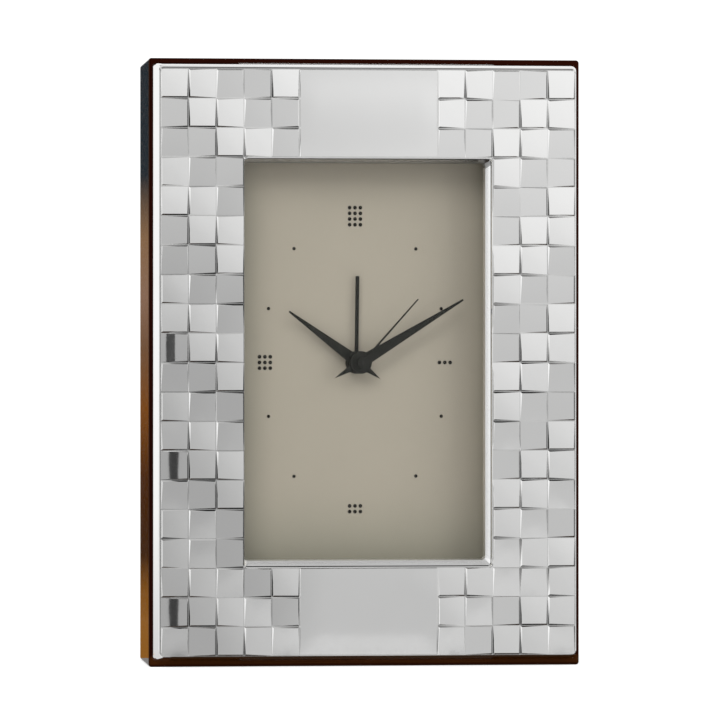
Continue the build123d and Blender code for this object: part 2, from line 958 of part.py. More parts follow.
# Stator: a plate loop round the rotor, whose right leg runs through the coil
stator_low = rotor_spot[1] - stator_below
stator_edge = rotor_spot[0] - stator_left
stator_right = stator_edge + stator_width
coil_middle = stator_right - coil_leg_inset - coil_leg / 2
with BuildPart() as stator:
    extrude(
        box_face(
            layer(-stator_layer), stator_edge, stator_right, stator_low, stator_low + stator_height),
        amount=stator_thickness,
    )
    extrude(
        box_face(
            layer(-stator_layer),
            stator_edge + stator_arm,
            coil_middle - coil_leg / 2,
            stator_low + 2 * stator_below,
            stator_low + stator_height - stator_arm,
        ),
        amount=stator_thickness,
        mode=Mode.SUBTRACT,
    )
    extrude(
        box_face(
            layer(-stator_layer),
            coil_middle + coil_leg / 2,
            stator_right,
            stator_low + 2 * stator_below,
            stator_low + stator_height - stator_arm,
        ),
        amount=stator_thickness,
        mode=Mode.SUBTRACT,
    )
    extrude(
        disc_face(layer(-stator_layer, rotor_spot), stator_hole_radius),
        amount=stator_thickness,
        mode=Mode.SUBTRACT,
    )
    for side in (-1, 1):
        extrude(
            rectangle_face(
                layer(-stator_layer, (rotor_spot[0], rotor_spot[1] + side * stator_hole_radius)),
                stator_slot,
                stator_slot * 2,
            ),
            amount=stator_thickness,
            mode=Mode.SUBTRACT,
        )
stator.part.label = "stator"
export_step(stator.part, "parts/stator.step")

# Coil bobbin and its winding, round the stator's right leg
bobbin_low = stator_low + 2 * stator_below + seat_gap
bobbin_high = stator_low + stator_height - stator_arm - seat_gap
coil_depth = -stator_layer + stator_thickness / 2
coil_base = layer(coil_depth, (coil_middle, bobbin_low))
coil_plane = Plane(origin=coil_base.origin, x_dir=coil_base.x_dir, z_dir=coil_base.y_dir)
bobbin_span = bobbin_high - bobbin_low
with BuildPart() as coil_bobbin:
    core_width = coil_leg + 2 * (seat_gap + bobbin_wall)
    core_depth = stator_thickness + 2 * (seat_gap + bobbin_wall)
    extrude(rectangle_face(coil_plane, core_width, core_depth), amount=bobbin_span)
    extrude(rectangle_face(coil_plane, bobbin_width, bobbin_depth), amount=bobbin_flange)
    extrude(
        rectangle_face(coil_plane.offset(bobbin_span), bobbin_width, bobbin_depth),
        amount=-bobbin_flange,
    )
    extrude(
        rectangle_face(coil_plane, coil_leg + 2 * seat_gap, stator_thickness + 2 * seat_gap),
        amount=bobbin_span,
        mode=Mode.SUBTRACT,
    )
coil_bobbin.part.label = "coil_bobbin"
export_step(coil_bobbin.part, "parts/coil_bobbin.step")

with BuildPart() as coil_winding:
    winding_base = coil_plane.offset(bobbin_flange + seat_gap)
    winding_span = bobbin_span - 2 * (bobbin_flange + seat_gap)
    extrude(
        rectangle_face(winding_base, winding_width, winding_depth, winding_corner),
        amount=winding_span,
    )
    extrude(
        rectangle_face(winding_base, core_width + 2 * press_gap, core_depth + 2 * press_gap),
        amount=winding_span,
        mode=Mode.SUBTRACT,
    )
coil_winding.part.label = "coil_winding"
export_step(coil_winding.part, "parts/coil_winding.step")

# Circuit board on its two pegs, with the quartz crystal and the chip on it
circuit_rear = -circuit_layer - circuit_thickness - seat_gap
circuit_middle = (circuit_left + circuit_width / 2, circuit_height / 2 - circuit_below)
with BuildPart() as circuit_board:
    extrude(
        rectangle_face(layer(circuit_rear, circuit_middle), circuit_width, circuit_height),
        amount=circuit_thickness,
    )
circuit_board.part.label = "circuit_board"
export_step(circuit_board.part, "parts/circuit_board.step")

with BuildPart() as circuit_chip:
    chip_spot = (circuit_middle[0], circuit_middle[1] - circuit_height / 4)
    extrude(disc_face(layer(circuit_rear, chip_spot), chip_radius), amount=-chip_height)
    fillet(circuit_chip.edges().group_by(depth_axis)[0], chip_height / 2)
circuit_chip.part.label = "circuit_chip"
export_step(circuit_chip.part, "parts/circuit_chip.step")

with BuildPart() as quartz_crystal:
    crystal_spot = (circuit_middle[0] - crystal_length / 2, circuit_middle[1] + circuit_height / 4)
    crystal_base = layer(circuit_rear - crystal_radius, crystal_spot)
    crystal_plane = Plane(
        origin=crystal_base.origin, x_dir=crystal_base.y_dir, z_dir=crystal_base.x_dir)
    extrude(disc_face(crystal_plane, crystal_radius), amount=crystal_length)
quartz_crystal.part.label = "quartz_crystal"
export_step(quartz_crystal.part, "parts/quartz_crystal.step")

# Buzzer disc against the cover's sound slots
with BuildPart() as buzzer_disc:
    extrude(disc_face(layer(cover_top + seat_gap, buzzer_spot), buzzer_radius), amount=buzzer_thickness)
buzzer_disc.part.label = "buzzer_disc"
export_step(buzzer_disc.part, "parts/buzzer_disc.step")

# Alarm contact: a bent strip from the front wall to the switch
with BuildPart() as alarm_contact:
    contact_left = plate_right + alarm_contact_thickness + pillar_inset
    contact_rear = -cover_front - switch_plate - 2 * alarm_contact_thickness
    strip_low = switch_spot[1] - alarm_contact_width / 2
    strip_high = switch_spot[1] + alarm_contact_width / 2
    extrude(
        box_face(
            layer(wall_rear), contact_left, contact_left + alarm_contact_thickness,
            strip_low, strip_high),
        amount=-contact_rear - wall_rear,
    )
    for depth in (wall_rear, -contact_rear + alarm_contact_thickness):
        extrude(
            box_face(
                layer(depth), contact_left, contact_left + alarm_contact_reach / 2,
                strip_low, strip_high),
            amount=-alarm_contact_thickness,
        )
alarm_contact.part.label = "alarm_contact"
export_step(alarm_contact.part, "parts/alarm_contact.step")

# Alarm switch: a plate inside, a stem through the slot and a button outside
with BuildPart() as alarm_switch:
    extrude(
        rectangle_face(
            layer(cover_top + seat_gap, switch_spot), switch_button_width, switch_button_height),
        amount=switch_plate,
    )
    extrude(
        rectangle_face(layer(cover_top + seat_gap, switch_spot), switch_stem, switch_stem),
        amount=-case_wall - 2 * seat_gap,
    )
    extrude(
        rectangle_face(
            layer(case_rear - seat_gap, switch_spot), switch_button_width, switch_button_height),
        amount=-switch_button_depth,
    )
alarm_switch.part.label = "alarm_switch"
export_step(alarm_switch.part, "parts/alarm_switch.step")

# Battery cell in the bay, and the sprung contacts at its ends
cell_depth = wall_rear - cell_wall_gap - cell_radius
bay_middle = (bay_top - room_half) / 2
cell_left = contact_thickness + spring_rise + cell_wall_gap - room_half
cell_base = layer(cell_depth, (cell_left, bay_middle))
cell_plane = Plane(origin=cell_base.origin, x_dir=cell_base.y_dir, z_dir=cell_base.x_dir)
with BuildPart() as battery:
    extrude(disc_face(cell_plane, cell_radius), amount=cell_length)
    fillet(battery.edges().filter_by(GeomType.CIRCLE), cell_radius / 10)
    extrude(disc_face(cell_plane.offset(cell_length), nub_radius), amount=nub_length)
battery.part.label = "battery"
export_step(battery.part, "parts/battery.step")

contact_low = bay_middle - contact_height / 2
contact_high = bay_middle + contact_height / 2
with BuildPart() as battery_contact_minus:
    extrude(
        box_face(
            layer(cell_depth - contact_width / 2), seat_gap - room_half,
            contact_thickness - room_half, contact_low, contact_high),
        amount=contact_width,
    )
    with BuildSketch(layer(cell_depth - contact_width / 4)) as leaf:
        with BuildLine():
            Polyline(
                (seat_gap - room_half, contact_low),
                (contact_thickness - room_half, contact_low),
                (contact_thickness + spring_rise - room_half, bay_middle),
                (spring_rise - room_half, bay_middle),
                close=True,
            )
        make_face()
    extrude(amount=contact_width / 2)
battery_contact_minus.part.label = "battery_contact_minus"
export_step(battery_contact_minus.part, "parts/battery_contact_minus.step")

with BuildPart() as battery_contact_plus:
    nub_end = cell_left + cell_length + nub_length + seat_gap
    extrude(
        box_face(
            layer(cell_depth - contact_width / 2), room_half - contact_thickness,
            room_half - seat_gap, contact_low, contact_high),
        amount=contact_width,
    )
    extrude(
        box_face(
            layer(cell_depth - contact_width / 4), nub_end, room_half - contact_thickness,
            bay_middle - nub_radius, bay_middle + nub_radius),
        amount=contact_width / 2,
    )
battery_contact_plus.part.label = "battery_contact_plus"
export_step(battery_contact_plus.part, "parts/battery_contact_plus.step")

# Going train, from the rotor to the centre wheel
bearing_rear = cover_top - bearing_depth
pinion_thickness = wheel_thickness + 2 * pinion_margin
thin_pinion = thin_wheel_thickness + 4 * pinion_margin
with BuildPart() as rotor_magnet:
    extrude(
        disc_face(layer(-rotor_layer, rotor_spot), rotor_radius)
        - disc_face(layer(-rotor_layer, rotor_spot), small_arbor_radius + press_gap),
        amount=rotor_length,
    )
rotor_magnet.part.label = "rotor_magnet"
export_step(rotor_magnet.part, "parts/rotor_magnet.step")

with BuildPart() as rotor_pinion:
    extrude(
        disc_face(layer(bearing_rear, rotor_spot), small_arbor_radius),
        amount=-train_plate_layer + train_plate_thickness - bearing_rear - seat_gap,
    )
    extrude(
        gear_face(
            layer(-intermediate_layer - 2 * pinion_margin, rotor_spot), rotor_pinion_teeth,
            rotor_module, rotor_direction + 180, gap=True),
        amount=thin_pinion,
    )
rotor_pinion.part.label = "rotor_pinion"
export_step(rotor_pinion.part, "parts/rotor_pinion.step")

with BuildPart() as intermediate_wheel:
    extrude(
        disc_face(layer(bearing_rear, intermediate_spot), small_arbor_radius),
        amount=-train_plate_layer + train_plate_thickness - bearing_rear - seat_gap,
    )
    extrude(
        gear_face(
            layer(-intermediate_layer, intermediate_spot), intermediate_wheel_teeth,
            rotor_module, rotor_direction),
        amount=thin_wheel_thickness,
    )
    extrude(
        gear_face(
            layer(-second_layer - 2 * pinion_margin, intermediate_spot),
            intermediate_pinion_teeth, train_module, intermediate_direction + 180, gap=True),
        amount=thin_pinion,
    )
intermediate_wheel.part.label = "intermediate_wheel"
export_step(intermediate_wheel.part, "parts/intermediate_wheel.step")

second_top = dial_front + second_hand_height + hub_thickness
with BuildPart() as second_wheel:
    extrude(disc_face(layer(bearing_rear), second_arbor_radius), amount=second_top - bearing_rear)
    extrude(
        gear_face(layer(-second_layer), second_wheel_teeth, train_module, intermediate_direction),
        amount=thin_wheel_thickness,
    )
    extrude(
        gear_face(
            layer(-third_layer - 2 * pinion_margin), second_pinion_teeth, third_module,
            third_direction, gap=True),
        amount=thin_pinion,
    )
second_wheel.part.label = "second_wheel"
export_step(second_wheel.part, "parts/second_wheel.step")

with BuildPart() as third_wheel:
    extrude(
        disc_face(layer(bearing_rear, third_spot), small_arbor_radius),
        amount=-centre_layer + wheel_thickness - bearing_rear,
    )
    extrude(
        gear_face(
            layer(-third_layer, third_spot), third_wheel_teeth, third_module, third_direction + 180),
        amount=thin_wheel_thickness,
    )
    extrude(
        gear_face(
            layer(-centre_layer - pinion_margin, third_spot), third_pinion_teeth, train_module,
            third_direction + 180, gap=True),
        amount=pinion_thickness,
    )
third_wheel.part.label = "third_wheel"
export_step(third_wheel.part, "parts/third_wheel.step")

with BuildPart() as centre_wheel:
    extrude(
        gear_face(layer(-centre_layer), centre_wheel_teeth, train_module, third_direction)
        - disc_face(layer(-centre_layer), second_arbor_radius + running_gap),
        amount=wheel_thickness,
    )
    extrude(
        disc_face(layer(-centre_layer + wheel_thickness), minute_pipe_radius)
        - disc_face(layer(-centre_layer + wheel_thickness), second_arbor_radius + running_gap),
        amount=centre_layer - wheel_thickness - motion_layer - pinion_margin - seat_gap,
    )
centre_wheel.part.label = "centre_wheel"
export_step(centre_wheel.part, "parts/centre_wheel.step")

# Motion work, from the cannon pinion to the hour wheel, with the setting pinion
minute_top = dial_front + minute_hand_height + hub_thickness
cannon_rear = -motion_layer - pinion_margin
with BuildPart() as cannon_pinion:
    extrude(disc_face(layer(cannon_rear), minute_pipe_radius), amount=minute_top - cannon_rear)
    extrude(
        gear_face(layer(cannon_rear), cannon_teeth, hand_module, motion_direction, gap=True),
        amount=pinion_thickness,
    )
    extrude(
        disc_face(layer(cannon_rear), second_arbor_radius + running_gap),
        amount=minute_top - cannon_rear,
        mode=Mode.SUBTRACT,
    )
cannon_pinion.part.label = "cannon_pinion"
export_step(cannon_pinion.part, "parts/cannon_pinion.step")

with BuildPart() as motion_wheel:
    motion_base = layer(-motion_layer, motion_spot)
    hour_base = layer(-hour_layer - 2 * pinion_margin, motion_spot)
    extrude(
        gear_face(motion_base, motion_wheel_teeth, hand_module, motion_direction),
        amount=wheel_thickness,
    )
    extrude(
        gear_face(hour_base, motion_pinion_teeth, hand_module, motion_direction + 180, gap=True),
        amount=wheel_thickness + 3 * pinion_margin,
    )
    extrude(
        disc_face(motion_base, hand_module * motion_pinion_teeth / 3),
        amount=motion_layer - hour_layer,
    )
    extrude(
        disc_face(motion_base, small_arbor_radius + running_gap),
        amount=case_depth,
        mode=Mode.SUBTRACT,
    )
motion_wheel.part.label = "motion_wheel"
export_step(motion_wheel.part, "parts/motion_wheel.step")

hour_top = dial_front + hour_hand_height + hub_thickness
with BuildPart() as hour_wheel:
    extrude(disc_face(layer(-hour_layer), hour_pipe_radius), amount=hour_top + hour_layer)
    extrude(
        gear_face(layer(-hour_layer), hour_wheel_teeth, hand_module, motion_direction),
        amount=wheel_thickness,
    )
    extrude(
        disc_face(layer(-hour_layer), minute_pipe_radius + running_gap),
        amount=hour_top + hour_layer,
        mode=Mode.SUBTRACT,
    )
hour_wheel.part.label = "hour_wheel"
export_step(hour_wheel.part, "parts/hour_wheel.step")

arbor_front = wall_rear + seat_hole_depth
knob_rear = case_rear - knob_gap - knob_thickness
arbor_length = arbor_front - knob_rear - knob_thickness / 4
with BuildPart() as setting_pinion:
    extrude(
        disc_face(layer(arbor_front, setting_spot), knob_arbor_radius), amount=-arbor_length)
    extrude(
        gear_face(
            layer(cannon_rear, setting_spot), setting_teeth, hand_module,
            motion_direction + 180, gap=True),
        amount=pinion_thickness,
    )
setting_pinion.part.label = "setting_pinion"
export_step(setting_pinion.part, "parts/setting_pinion.step")

# Alarm work: the wheel with the alarm hand's pipe, and the pinion on the knob's arbor
alarm_top = dial_front + alarm_hand_height + hub_thickness
with BuildPart() as alarm_wheel:
    extrude(disc_face(layer(-alarm_layer), alarm_pipe_radius), amount=alarm_top + alarm_layer)
    extrude(
        gear_face(layer(-alarm_layer), alarm_wheel_teeth, hand_module, alarm_direction),
        amount=wheel_thickness,
    )
    extrude(
        disc_face(layer(-alarm_layer), hour_pipe_radius + running_gap),
        amount=alarm_top + alarm_layer,
        mode=Mode.SUBTRACT,
    )
alarm_wheel.part.label = "alarm_wheel"
export_step(alarm_wheel.part, "parts/alarm_wheel.step")

with BuildPart() as alarm_pinion:
    extrude(disc_face(layer(arbor_front, alarm_spot), knob_arbor_radius), amount=-arbor_length)
    extrude(
        gear_face(
            layer(-alarm_layer - pinion_margin, alarm_spot), alarm_pinion_teeth, hand_module,
            alarm_direction + 180, gap=True),
        amount=pinion_thickness,
    )
alarm_pinion.part.label = "alarm_pinion"
export_step(alarm_pinion.part, "parts/alarm_pinion.step")


def add_knob(spot):
    """A fluted knob with a blind bore for its arbor."""
    base = layer(case_rear - knob_gap, spot)
    extrude(disc_face(base, knob_radius), amount=-knob_thickness)
    for number in range(knob_flutes):
        flute = polar(knob_radius, number * 360 / knob_flutes)
        extrude(
            disc_face(layer(case_rear - knob_gap, (spot[0] + flute[0], spot[1] + flute[1])), flute_radius),
            amount=-knob_thickness,
            mode=Mode.SUBTRACT,
        )
    extrude(
        disc_face(base, knob_arbor_radius + press_gap),
        amount=-knob_thickness * 3 / 4 - seat_gap,
        mode=Mode.SUBTRACT,
    )


with BuildPart() as time_knob:
    add_knob(setting_spot)
time_knob.part.label = "time_knob"
export_step(time_knob.part, "parts/time_knob.step")

with BuildPart() as alarm_knob:
    add_knob(alarm_spot)
alarm_knob.part.label = "alarm_knob"
export_step(alarm_knob.part, "parts/alarm_knob.step")


def add_hub(height, radius, bore):
    """The disc at a hand's centre, bored for its pipe."""
    extrude(disc_face(layer(dial_front + height), radius), amount=hub_thickness)
    extrude(
        disc_face(layer(dial_front + height), bore + press_gap),
        amount=hub_thickness,
        mode=Mode.SUBTRACT,
    )


# Hands, each flat and pressed on its own pipe
with BuildPart() as alarm_hand:
    hand_plane = layer(dial_front + alarm_hand_height, turn=alarm_hand_angle)
    extrude(
        pointer_face(hand_plane, alarm_hand_length, alarm_hand_width, alarm_hand_width),
        amount=hand_thickness,
    )
    add_hub(alarm_hand_height, hub_radius, alarm_pipe_radius)
alarm_hand.part.label = "alarm_hand"
export_step(alarm_hand.part, "parts/alarm_hand.step")

with BuildPart() as hour_hand:
    hand_plane = layer(dial_front + hour_hand_height, turn=hour_hand_angle)
    extrude(
        pointer_face(hand_plane, hour_hand_length, hour_hand_width, hand_tip_width),
        amount=hand_thickness,
    )
    extrude(tail_face(hand_plane, hour_hand_tail), amount=hand_thickness)
    add_hub(hour_hand_height, hub_radius, hour_pipe_radius)
hour_hand.part.label = "hour_hand"
export_step(hour_hand.part, "parts/hour_hand.step")

with BuildPart() as minute_hand:
    hand_plane = layer(dial_front + minute_hand_height, turn=minute_hand_angle)
    extrude(
        pointer_face(hand_plane, minute_hand_length, minute_hand_width, hand_tip_width),
        amount=hand_thickness,
    )
    extrude(tail_face(hand_plane, minute_hand_tail), amount=hand_thickness)
    add_hub(minute_hand_height, hub_radius, minute_pipe_radius)
minute_hand.part.label = "minute_hand"
export_step(minute_hand.part, "parts/minute_hand.step")

with BuildPart() as second_hand:
    hand_plane = layer(dial_front + second_hand_height, turn=second_hand_angle)
    extrude(
        pointer_face(hand_plane, second_hand_length, second_hand_width, second_hand_width / 2),
        amount=hand_thickness,
    )
    add_hub(second_hand_height, second_hub_radius, second_arbor_radius)
second_hand.part.label = "second_hand"
export_step(second_hand.part, "parts/second_hand.step")

# Wire stand, drawn in the plane of its own legs, with its two stop tips
stand_sine = math.sin(math.radians(stand_tilt))
stand_cosine = math.cos(math.radians(stand_tilt))
pivot_place = layer(-pivot_stand_off, (0, pivot_height)).origin
stand_plane = Plane(origin=pivot_place, x_dir=(1, 0, 0), z_dir=(0, -stand_cosine, -stand_sine))
tip_rise = (pivot_stand_off + board_rear - stop_gap
            - wire_radius * math.cos(math.radians(stand_open))) / math.sin(math.radians(stand_open))
wire_points = [
    (-pivot_reach, tip_rise),
    (-pivot_reach, 0),
    (-leg_spread, 0),
    (-leg_spread, -leg_length),
    (leg_spread, -leg_length),
    (leg_spread, 0),
    (pivot_reach, 0),
    (pivot_reach, tip_rise),
]
wire_radii = [pivot_corner, pivot_corner, leg_corner, leg_corner, pivot_corner, pivot_corner]
with BuildPart() as wire_stand:
    with BuildLine(stand_plane) as wire_path:
        FilletPolyline(*wire_points, radius=wire_radii)
    tip_plane = Plane(origin=wire_path.line @ 0, z_dir=wire_path.line % 0)
    with BuildSketch(tip_plane):
        Circle(wire_radius)
    sweep()
wire_stand.part.label = "wire_stand"
export_step(wire_stand.part, "parts/wire_stand.step")

# Rubber sleeve on the stand's bottom bar
sleeve_end = stand_plane.from_local_coords((-sleeve_length / 2, -leg_length, 0))
sleeve_plane = Plane(origin=sleeve_end, x_dir=stand_plane.y_dir, z_dir=(1, 0, 0))
with BuildPart() as stand_sleeve:
    extrude(
        disc_face(sleeve_plane, sleeve_radius) - disc_face(sleeve_plane, wire_radius + press_gap),
        amount=sleeve_length,
    )
stand_sleeve.part.label = "stand_sleeve"
export_step(stand_sleeve.part, "parts/stand_sleeve.step")

# Clips that hold the stand's pivots on the board
saddle_radius = wire_radius + running_gap + clip_wall
with BuildPart() as stand_clips:
    for side in (-1, 1):
        clip_left = side * clip_centre - clip_width / 2
        clip_place = layer(board_rear, (clip_left, pivot_height))
        clip_plane = Plane(origin=clip_place.origin, x_dir=clip_place.y_dir, z_dir=(1, 0, 0))
        wire_back = pivot_stand_off + board_rear
        with BuildSketch(clip_plane):
            with Locations((0, -wire_back)):
                Circle(saddle_radius)
            with Locations((0, -wire_back / 2)):
                Rectangle(2 * saddle_radius, wire_back)
            with Locations((clip_flange / 2, -clip_wall / 2)):
                Rectangle(clip_flange, clip_wall)
            with Locations((0, -wire_back)):
                Circle(wire_radius + running_gap, mode=Mode.SUBTRACT)
        extrude(amount=clip_width)
    for spot in clip_screw_spots:
        extrude(
            disc_face(layer(board_rear - clip_wall, spot), clip_screw_radius + running_gap),
            amount=clip_wall,
            mode=Mode.SUBTRACT,
        )
stand_clips.part.label = "stand_clips"
export_step(stand_clips.part, "parts/stand_clips.step")

with BuildPart() as stand_clip_screws:
    add_screws(
        board_rear - clip_wall, clip_screw_spots, clip_screw_radius, clip_screw_length,
        clip_screw_head_radius, clip_screw_head)
stand_clip_screws.part.label = "stand_clip_screws"
export_step(stand_clip_screws.part, "parts/stand_clip_screws.step")
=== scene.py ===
import bmesh
import bpy
import json
import math
from mathutils import Matrix, Vector

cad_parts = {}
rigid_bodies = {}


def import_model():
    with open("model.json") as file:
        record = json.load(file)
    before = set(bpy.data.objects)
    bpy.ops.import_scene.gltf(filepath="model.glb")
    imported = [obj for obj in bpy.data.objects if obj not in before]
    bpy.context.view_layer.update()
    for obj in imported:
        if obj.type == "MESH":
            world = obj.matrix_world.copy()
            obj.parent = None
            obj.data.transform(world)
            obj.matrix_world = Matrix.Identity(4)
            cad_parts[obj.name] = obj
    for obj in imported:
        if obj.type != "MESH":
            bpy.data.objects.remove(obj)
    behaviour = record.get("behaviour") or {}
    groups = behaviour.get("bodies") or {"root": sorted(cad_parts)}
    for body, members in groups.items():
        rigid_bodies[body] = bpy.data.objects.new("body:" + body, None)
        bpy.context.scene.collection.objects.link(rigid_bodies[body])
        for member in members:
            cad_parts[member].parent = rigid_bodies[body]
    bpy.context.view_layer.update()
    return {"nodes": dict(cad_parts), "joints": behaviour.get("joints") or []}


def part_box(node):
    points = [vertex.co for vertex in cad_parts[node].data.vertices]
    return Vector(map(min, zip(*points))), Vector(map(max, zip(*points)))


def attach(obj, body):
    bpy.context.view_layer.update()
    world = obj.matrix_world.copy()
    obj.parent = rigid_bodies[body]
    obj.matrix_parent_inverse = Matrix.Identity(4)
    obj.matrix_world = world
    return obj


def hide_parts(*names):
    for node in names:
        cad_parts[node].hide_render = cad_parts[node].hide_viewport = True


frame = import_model()
nodes = frame["nodes"]

# Wood frame: dark stained hardwood, four rails mitred and glued at the corners, sanded
# round at the front edges and lacquered. It is one CAD solid, so only its finish is made.
# The grain runs along each rail.
mm = 0.001
wood_front = 12.5
mitre_start = 20

# The clock leans back on its own bottom edge. What is measured on it lies in its own
# plane: millimetres across, up and out from the hand axis at the wood's rear face.
hand_turn = next(j for j in frame["joints"] if j["name"] == "minute_turn")
hand_axis = Vector(hand_turn["pos_m"])
out = Vector(hand_turn["axis"]).normalized()
across = Vector((1, 0, 0))
up = out.cross(across)
standing = Matrix((across, up, out)).transposed().to_4x4()
standing.translation = hand_axis


class Signal:
    """A value in a material, which can be added, multiplied and so on in plain maths."""

    def __init__(self, finish, socket):
        self.finish = finish
        self.socket = socket

    def maths(self, operation, first, second=0.0):
        return self.finish.node("Math", {"operation": operation}, {0: first, 1: second})

    def __add__(self, other):
        return self.maths("ADD", self, other)

    def __sub__(self, other):
        return self.maths("SUBTRACT", self, other)

    def __mul__(self, other):
        return self.maths("MULTIPLY", self, other)

    def __truediv__(self, other):
        return self.maths("DIVIDE", self, other)

    def __pow__(self, other):
        return self.maths("POWER", self, other)

    def __rsub__(self, other):
        return self.maths("SUBTRACT", other, self)

    def __abs__(self):
        return self.maths("ABSOLUTE", self)

    __radd__ = __add__
    __rmul__ = __mul__

    def fraction(self):
        return self.maths("FRACT", self)

    def rise(self, start, end):
        """0 below start, 1 above end, and a smooth step between them."""
        sockets = {"Value": self, "From Min": start, "From Max": end}
        return self.finish.node("MapRange", {"interpolation_type": "SMOOTHSTEP"}, sockets)


class Finish:
    """A material, with one way to add any node to it."""

    def __init__(self, name, surface=None):
        self.material = bpy.data.materials.new(name)
        self.material.use_nodes = True
        self.tree = self.material.node_tree
        self.surface = self.tree.nodes["Principled BSDF"]
        self.feed(surface or {})

    def plug(self, socket, value):
        if isinstance(value, Signal):
            self.tree.links.new(value.socket, socket)
        elif socket.type == "RGBA":
            socket.default_value = (*value, 1)
        else:
            socket.default_value = value

    def feed(self, values):
        """Sets or links sockets of the surface shader."""
        for name, value in values.items():
            self.plug(self.surface.inputs[name], value)

    def node(self, kind, settings, sockets, output=0):
        """Adds a node: its settings first, then the values or links of its sockets."""
        made = self.tree.nodes.new("ShaderNode" + kind)
        for name, value in settings.items():
            if name == "stops":
                ramp = made.color_ramp
                while len(ramp.elements) < len(value):
                    ramp.elements.new(1)
                for stop, (place, colour) in zip(ramp.elements, value):
                    stop.position = place
                    stop.color = (*colour, 1)
            else:
                setattr(made, name, value)
        for name, value in sockets.items():
            self.plug(made.inputs[name], value)
        return Signal(self, made.outputs[output])

    def place(self, stretch=(1, 1, 1)):
        """Places on the clock in millimetres, stretched by these factors."""
        spot = self.node("TexCoord", {}, {}, "Object")
        size = [mm * factor for factor in stretch]
        turn = standing.to_euler()
        sockets = {"Vector": spot, "Location": hand_axis, "Rotation": turn, "Scale": size}
        return self.node("Mapping", {"vector_type": "TEXTURE"}, sockets)

    def axes(self, wanted="XYZ"):
        """The parts of a place, across, up and out, each as a value."""
        place = self.place()
        return [self.node("SeparateXYZ", {}, {0: place}, axis) for axis in wanted]

    def noise(self, scale, detail=2, stretch=(1, 1, 1), rough=0.5):
        """Soft random values from 0 to 1, with so many cells a millimetre."""
        look = {"Scale": scale, "Detail": detail, "Roughness": rough}
        return self.node("TexNoise", {}, {"Vector": self.place(stretch), **look})

    def mix(self, share, first, second):
        """A colour between two others."""
        return self.node("Mix", {"data_type": "RGBA"}, {0: share, 6: first, 7: second}, 2)

    def bump(self, height, distance):
        """Relief that is this many millimetres high where the value goes from 0 to 1."""
        sockets = {"Height": height, "Distance": distance * mm, "Strength": 1}
        self.feed({"Normal": self.node("Bump", {}, sockets)})

    def show(self, shader):
        """Makes another shader what the material shows."""
        self.tree.links.new(shader.socket, self.tree.nodes["Material Output"].inputs[0])


def coat(piece, finish):
    """Gives a piece its finish."""
    piece.data.materials.clear()
    piece.data.materials.append(finish.material)


wood = Finish("dark lacquered wood", {
    "Specular IOR Level": 0.14,
    "Specular Tint": (1, 0.3, 0.16),
})
wood_x, wood_y, wood_z = wood.axes()
down = 0 - wood_y
on_side_rail = (abs(wood_x) - abs(wood_y) + mitre_start).rise(-0.05, 0.05)
grain_up = wood.noise(0.9, 6, (1, 14, 1), 0.62)
grain_across = wood.noise(0.9, 6, (14, 1, 1), 0.62)
grain = wood.node("Mix", {}, {0: on_side_rail, 2: grain_across, 3: grain_up})
pores = wood.node("Mix", {}, {
    0: on_side_rail,
    2: wood.noise(5, 2, (30, 1, 1)),
    3: wood.noise(5, 2, (1, 30, 1)),
})
# Painted light: the side faces are painted lighter and warmer than the front, and the round of
# the foot rail is painted half as much so, as a painted highlight.
foot_round = (78.6, 79.4)
foot_highlight_start = (77, 77.4)
foot_highlight_end = (79, 79.6)
side_face = 1 - wood_z.rise(wood_front - 0.4, wood_front)
foot_round_highlight = down.rise(*foot_round) * (1 - wood_z.rise(wood_front - 0.04, wood_front))
dark_tone = wood.mix(grain, (0.008, 0.0007, 0.0003), (0.02, 0.0022, 0.0007))
lit_side_tone = wood.mix(grain, (0.01, 0.004, 0.0012), (0.032, 0.013, 0.0035))
foot_highlight_tone = wood.mix(grain, (0.03, 0.009, 0.002), (0.065, 0.02, 0.004))
# A painted highlight: the rounded front edge just above the foot is painted lighter and warmer.
foot_edge = down.rise(*foot_highlight_start) - down.rise(*foot_highlight_end)
painted_foot_highlight = foot_edge * wood_z.rise(wood_front - 0.1, wood_front - 0.02)
tone_with_painted_light = wood.mix(side_face + foot_round_highlight * 0.5, dark_tone, lit_side_tone)
wood.feed({"Base Color": wood.mix(painted_foot_highlight, tone_with_painted_light, foot_highlight_tone)})
wood.feed({"Roughness": 0.09 + grain * 0.06})
wood.bump(grain * 0.6 + pores * 0.4, 0.02)
coat(nodes["wood_frame"], wood)

# Silver front: one thin sheet of silver, pressed into a mosaic of small square tiles with
# two plain bands, and rolled over at the window and at its outer edge. Its skirt is glued
# round the resin core, and the whole front is polished.
field_width = 115.4
field_height = 154.3
sheet_top = 15.3
columns = 15
rows = 20
middle_column = (columns - 1) / 2
middle_row = (rows - 1) / 2
window_columns = 9
window_rows = 14
band_columns = 5
pitch_across = field_width / columns
pitch_up = field_height / rows
window_half_width = window_columns / 2 * pitch_across
window_half_height = window_rows / 2 * pitch_up
band_half_width = band_columns / 2 * pitch_across
groove = 0.1
low_rise = 0.077
high_rise = 0.48
flank_slope = math.tan(math.radians(40))
tipped_in = (high_rise - low_rise) * flank_slope
unevenness = 0.05
crowns = (0.014, 0.01)
half_tile = 3.8
fold_from_middle = 0.9
fold_depth = 0.52
band_edge = 0.2
band_rise = 0.25
facet_angle = math.radians(18)


def choose(kind, test):
    """In edit mode, selects the faces, edges or corners of a mesh that pass a test."""
    bpy.ops.mesh.select_all(action="DESELECT")
    bpy.ops.mesh.select_mode(type=kind)
    shape = bmesh.from_edit_mesh(bpy.context.edit_object.data)
    parts = {"FACE": shape.faces, "EDGE": shape.edges, "VERT": shape.verts}[kind]
    for part in parts:
        if test(part):
            part.select_set(True)
    bmesh.update_edit_mesh(bpy.context.edit_object.data)


def middle(face):
    return face.calc_center_median()


def in_window(face):
    spot = middle(face)
    return abs(spot.x) < window_half_width and abs(spot.y) < window_half_height


def in_band(face):
    spot = middle(face)
    return abs(spot.x) < band_half_width and abs(spot.y) > window_half_height


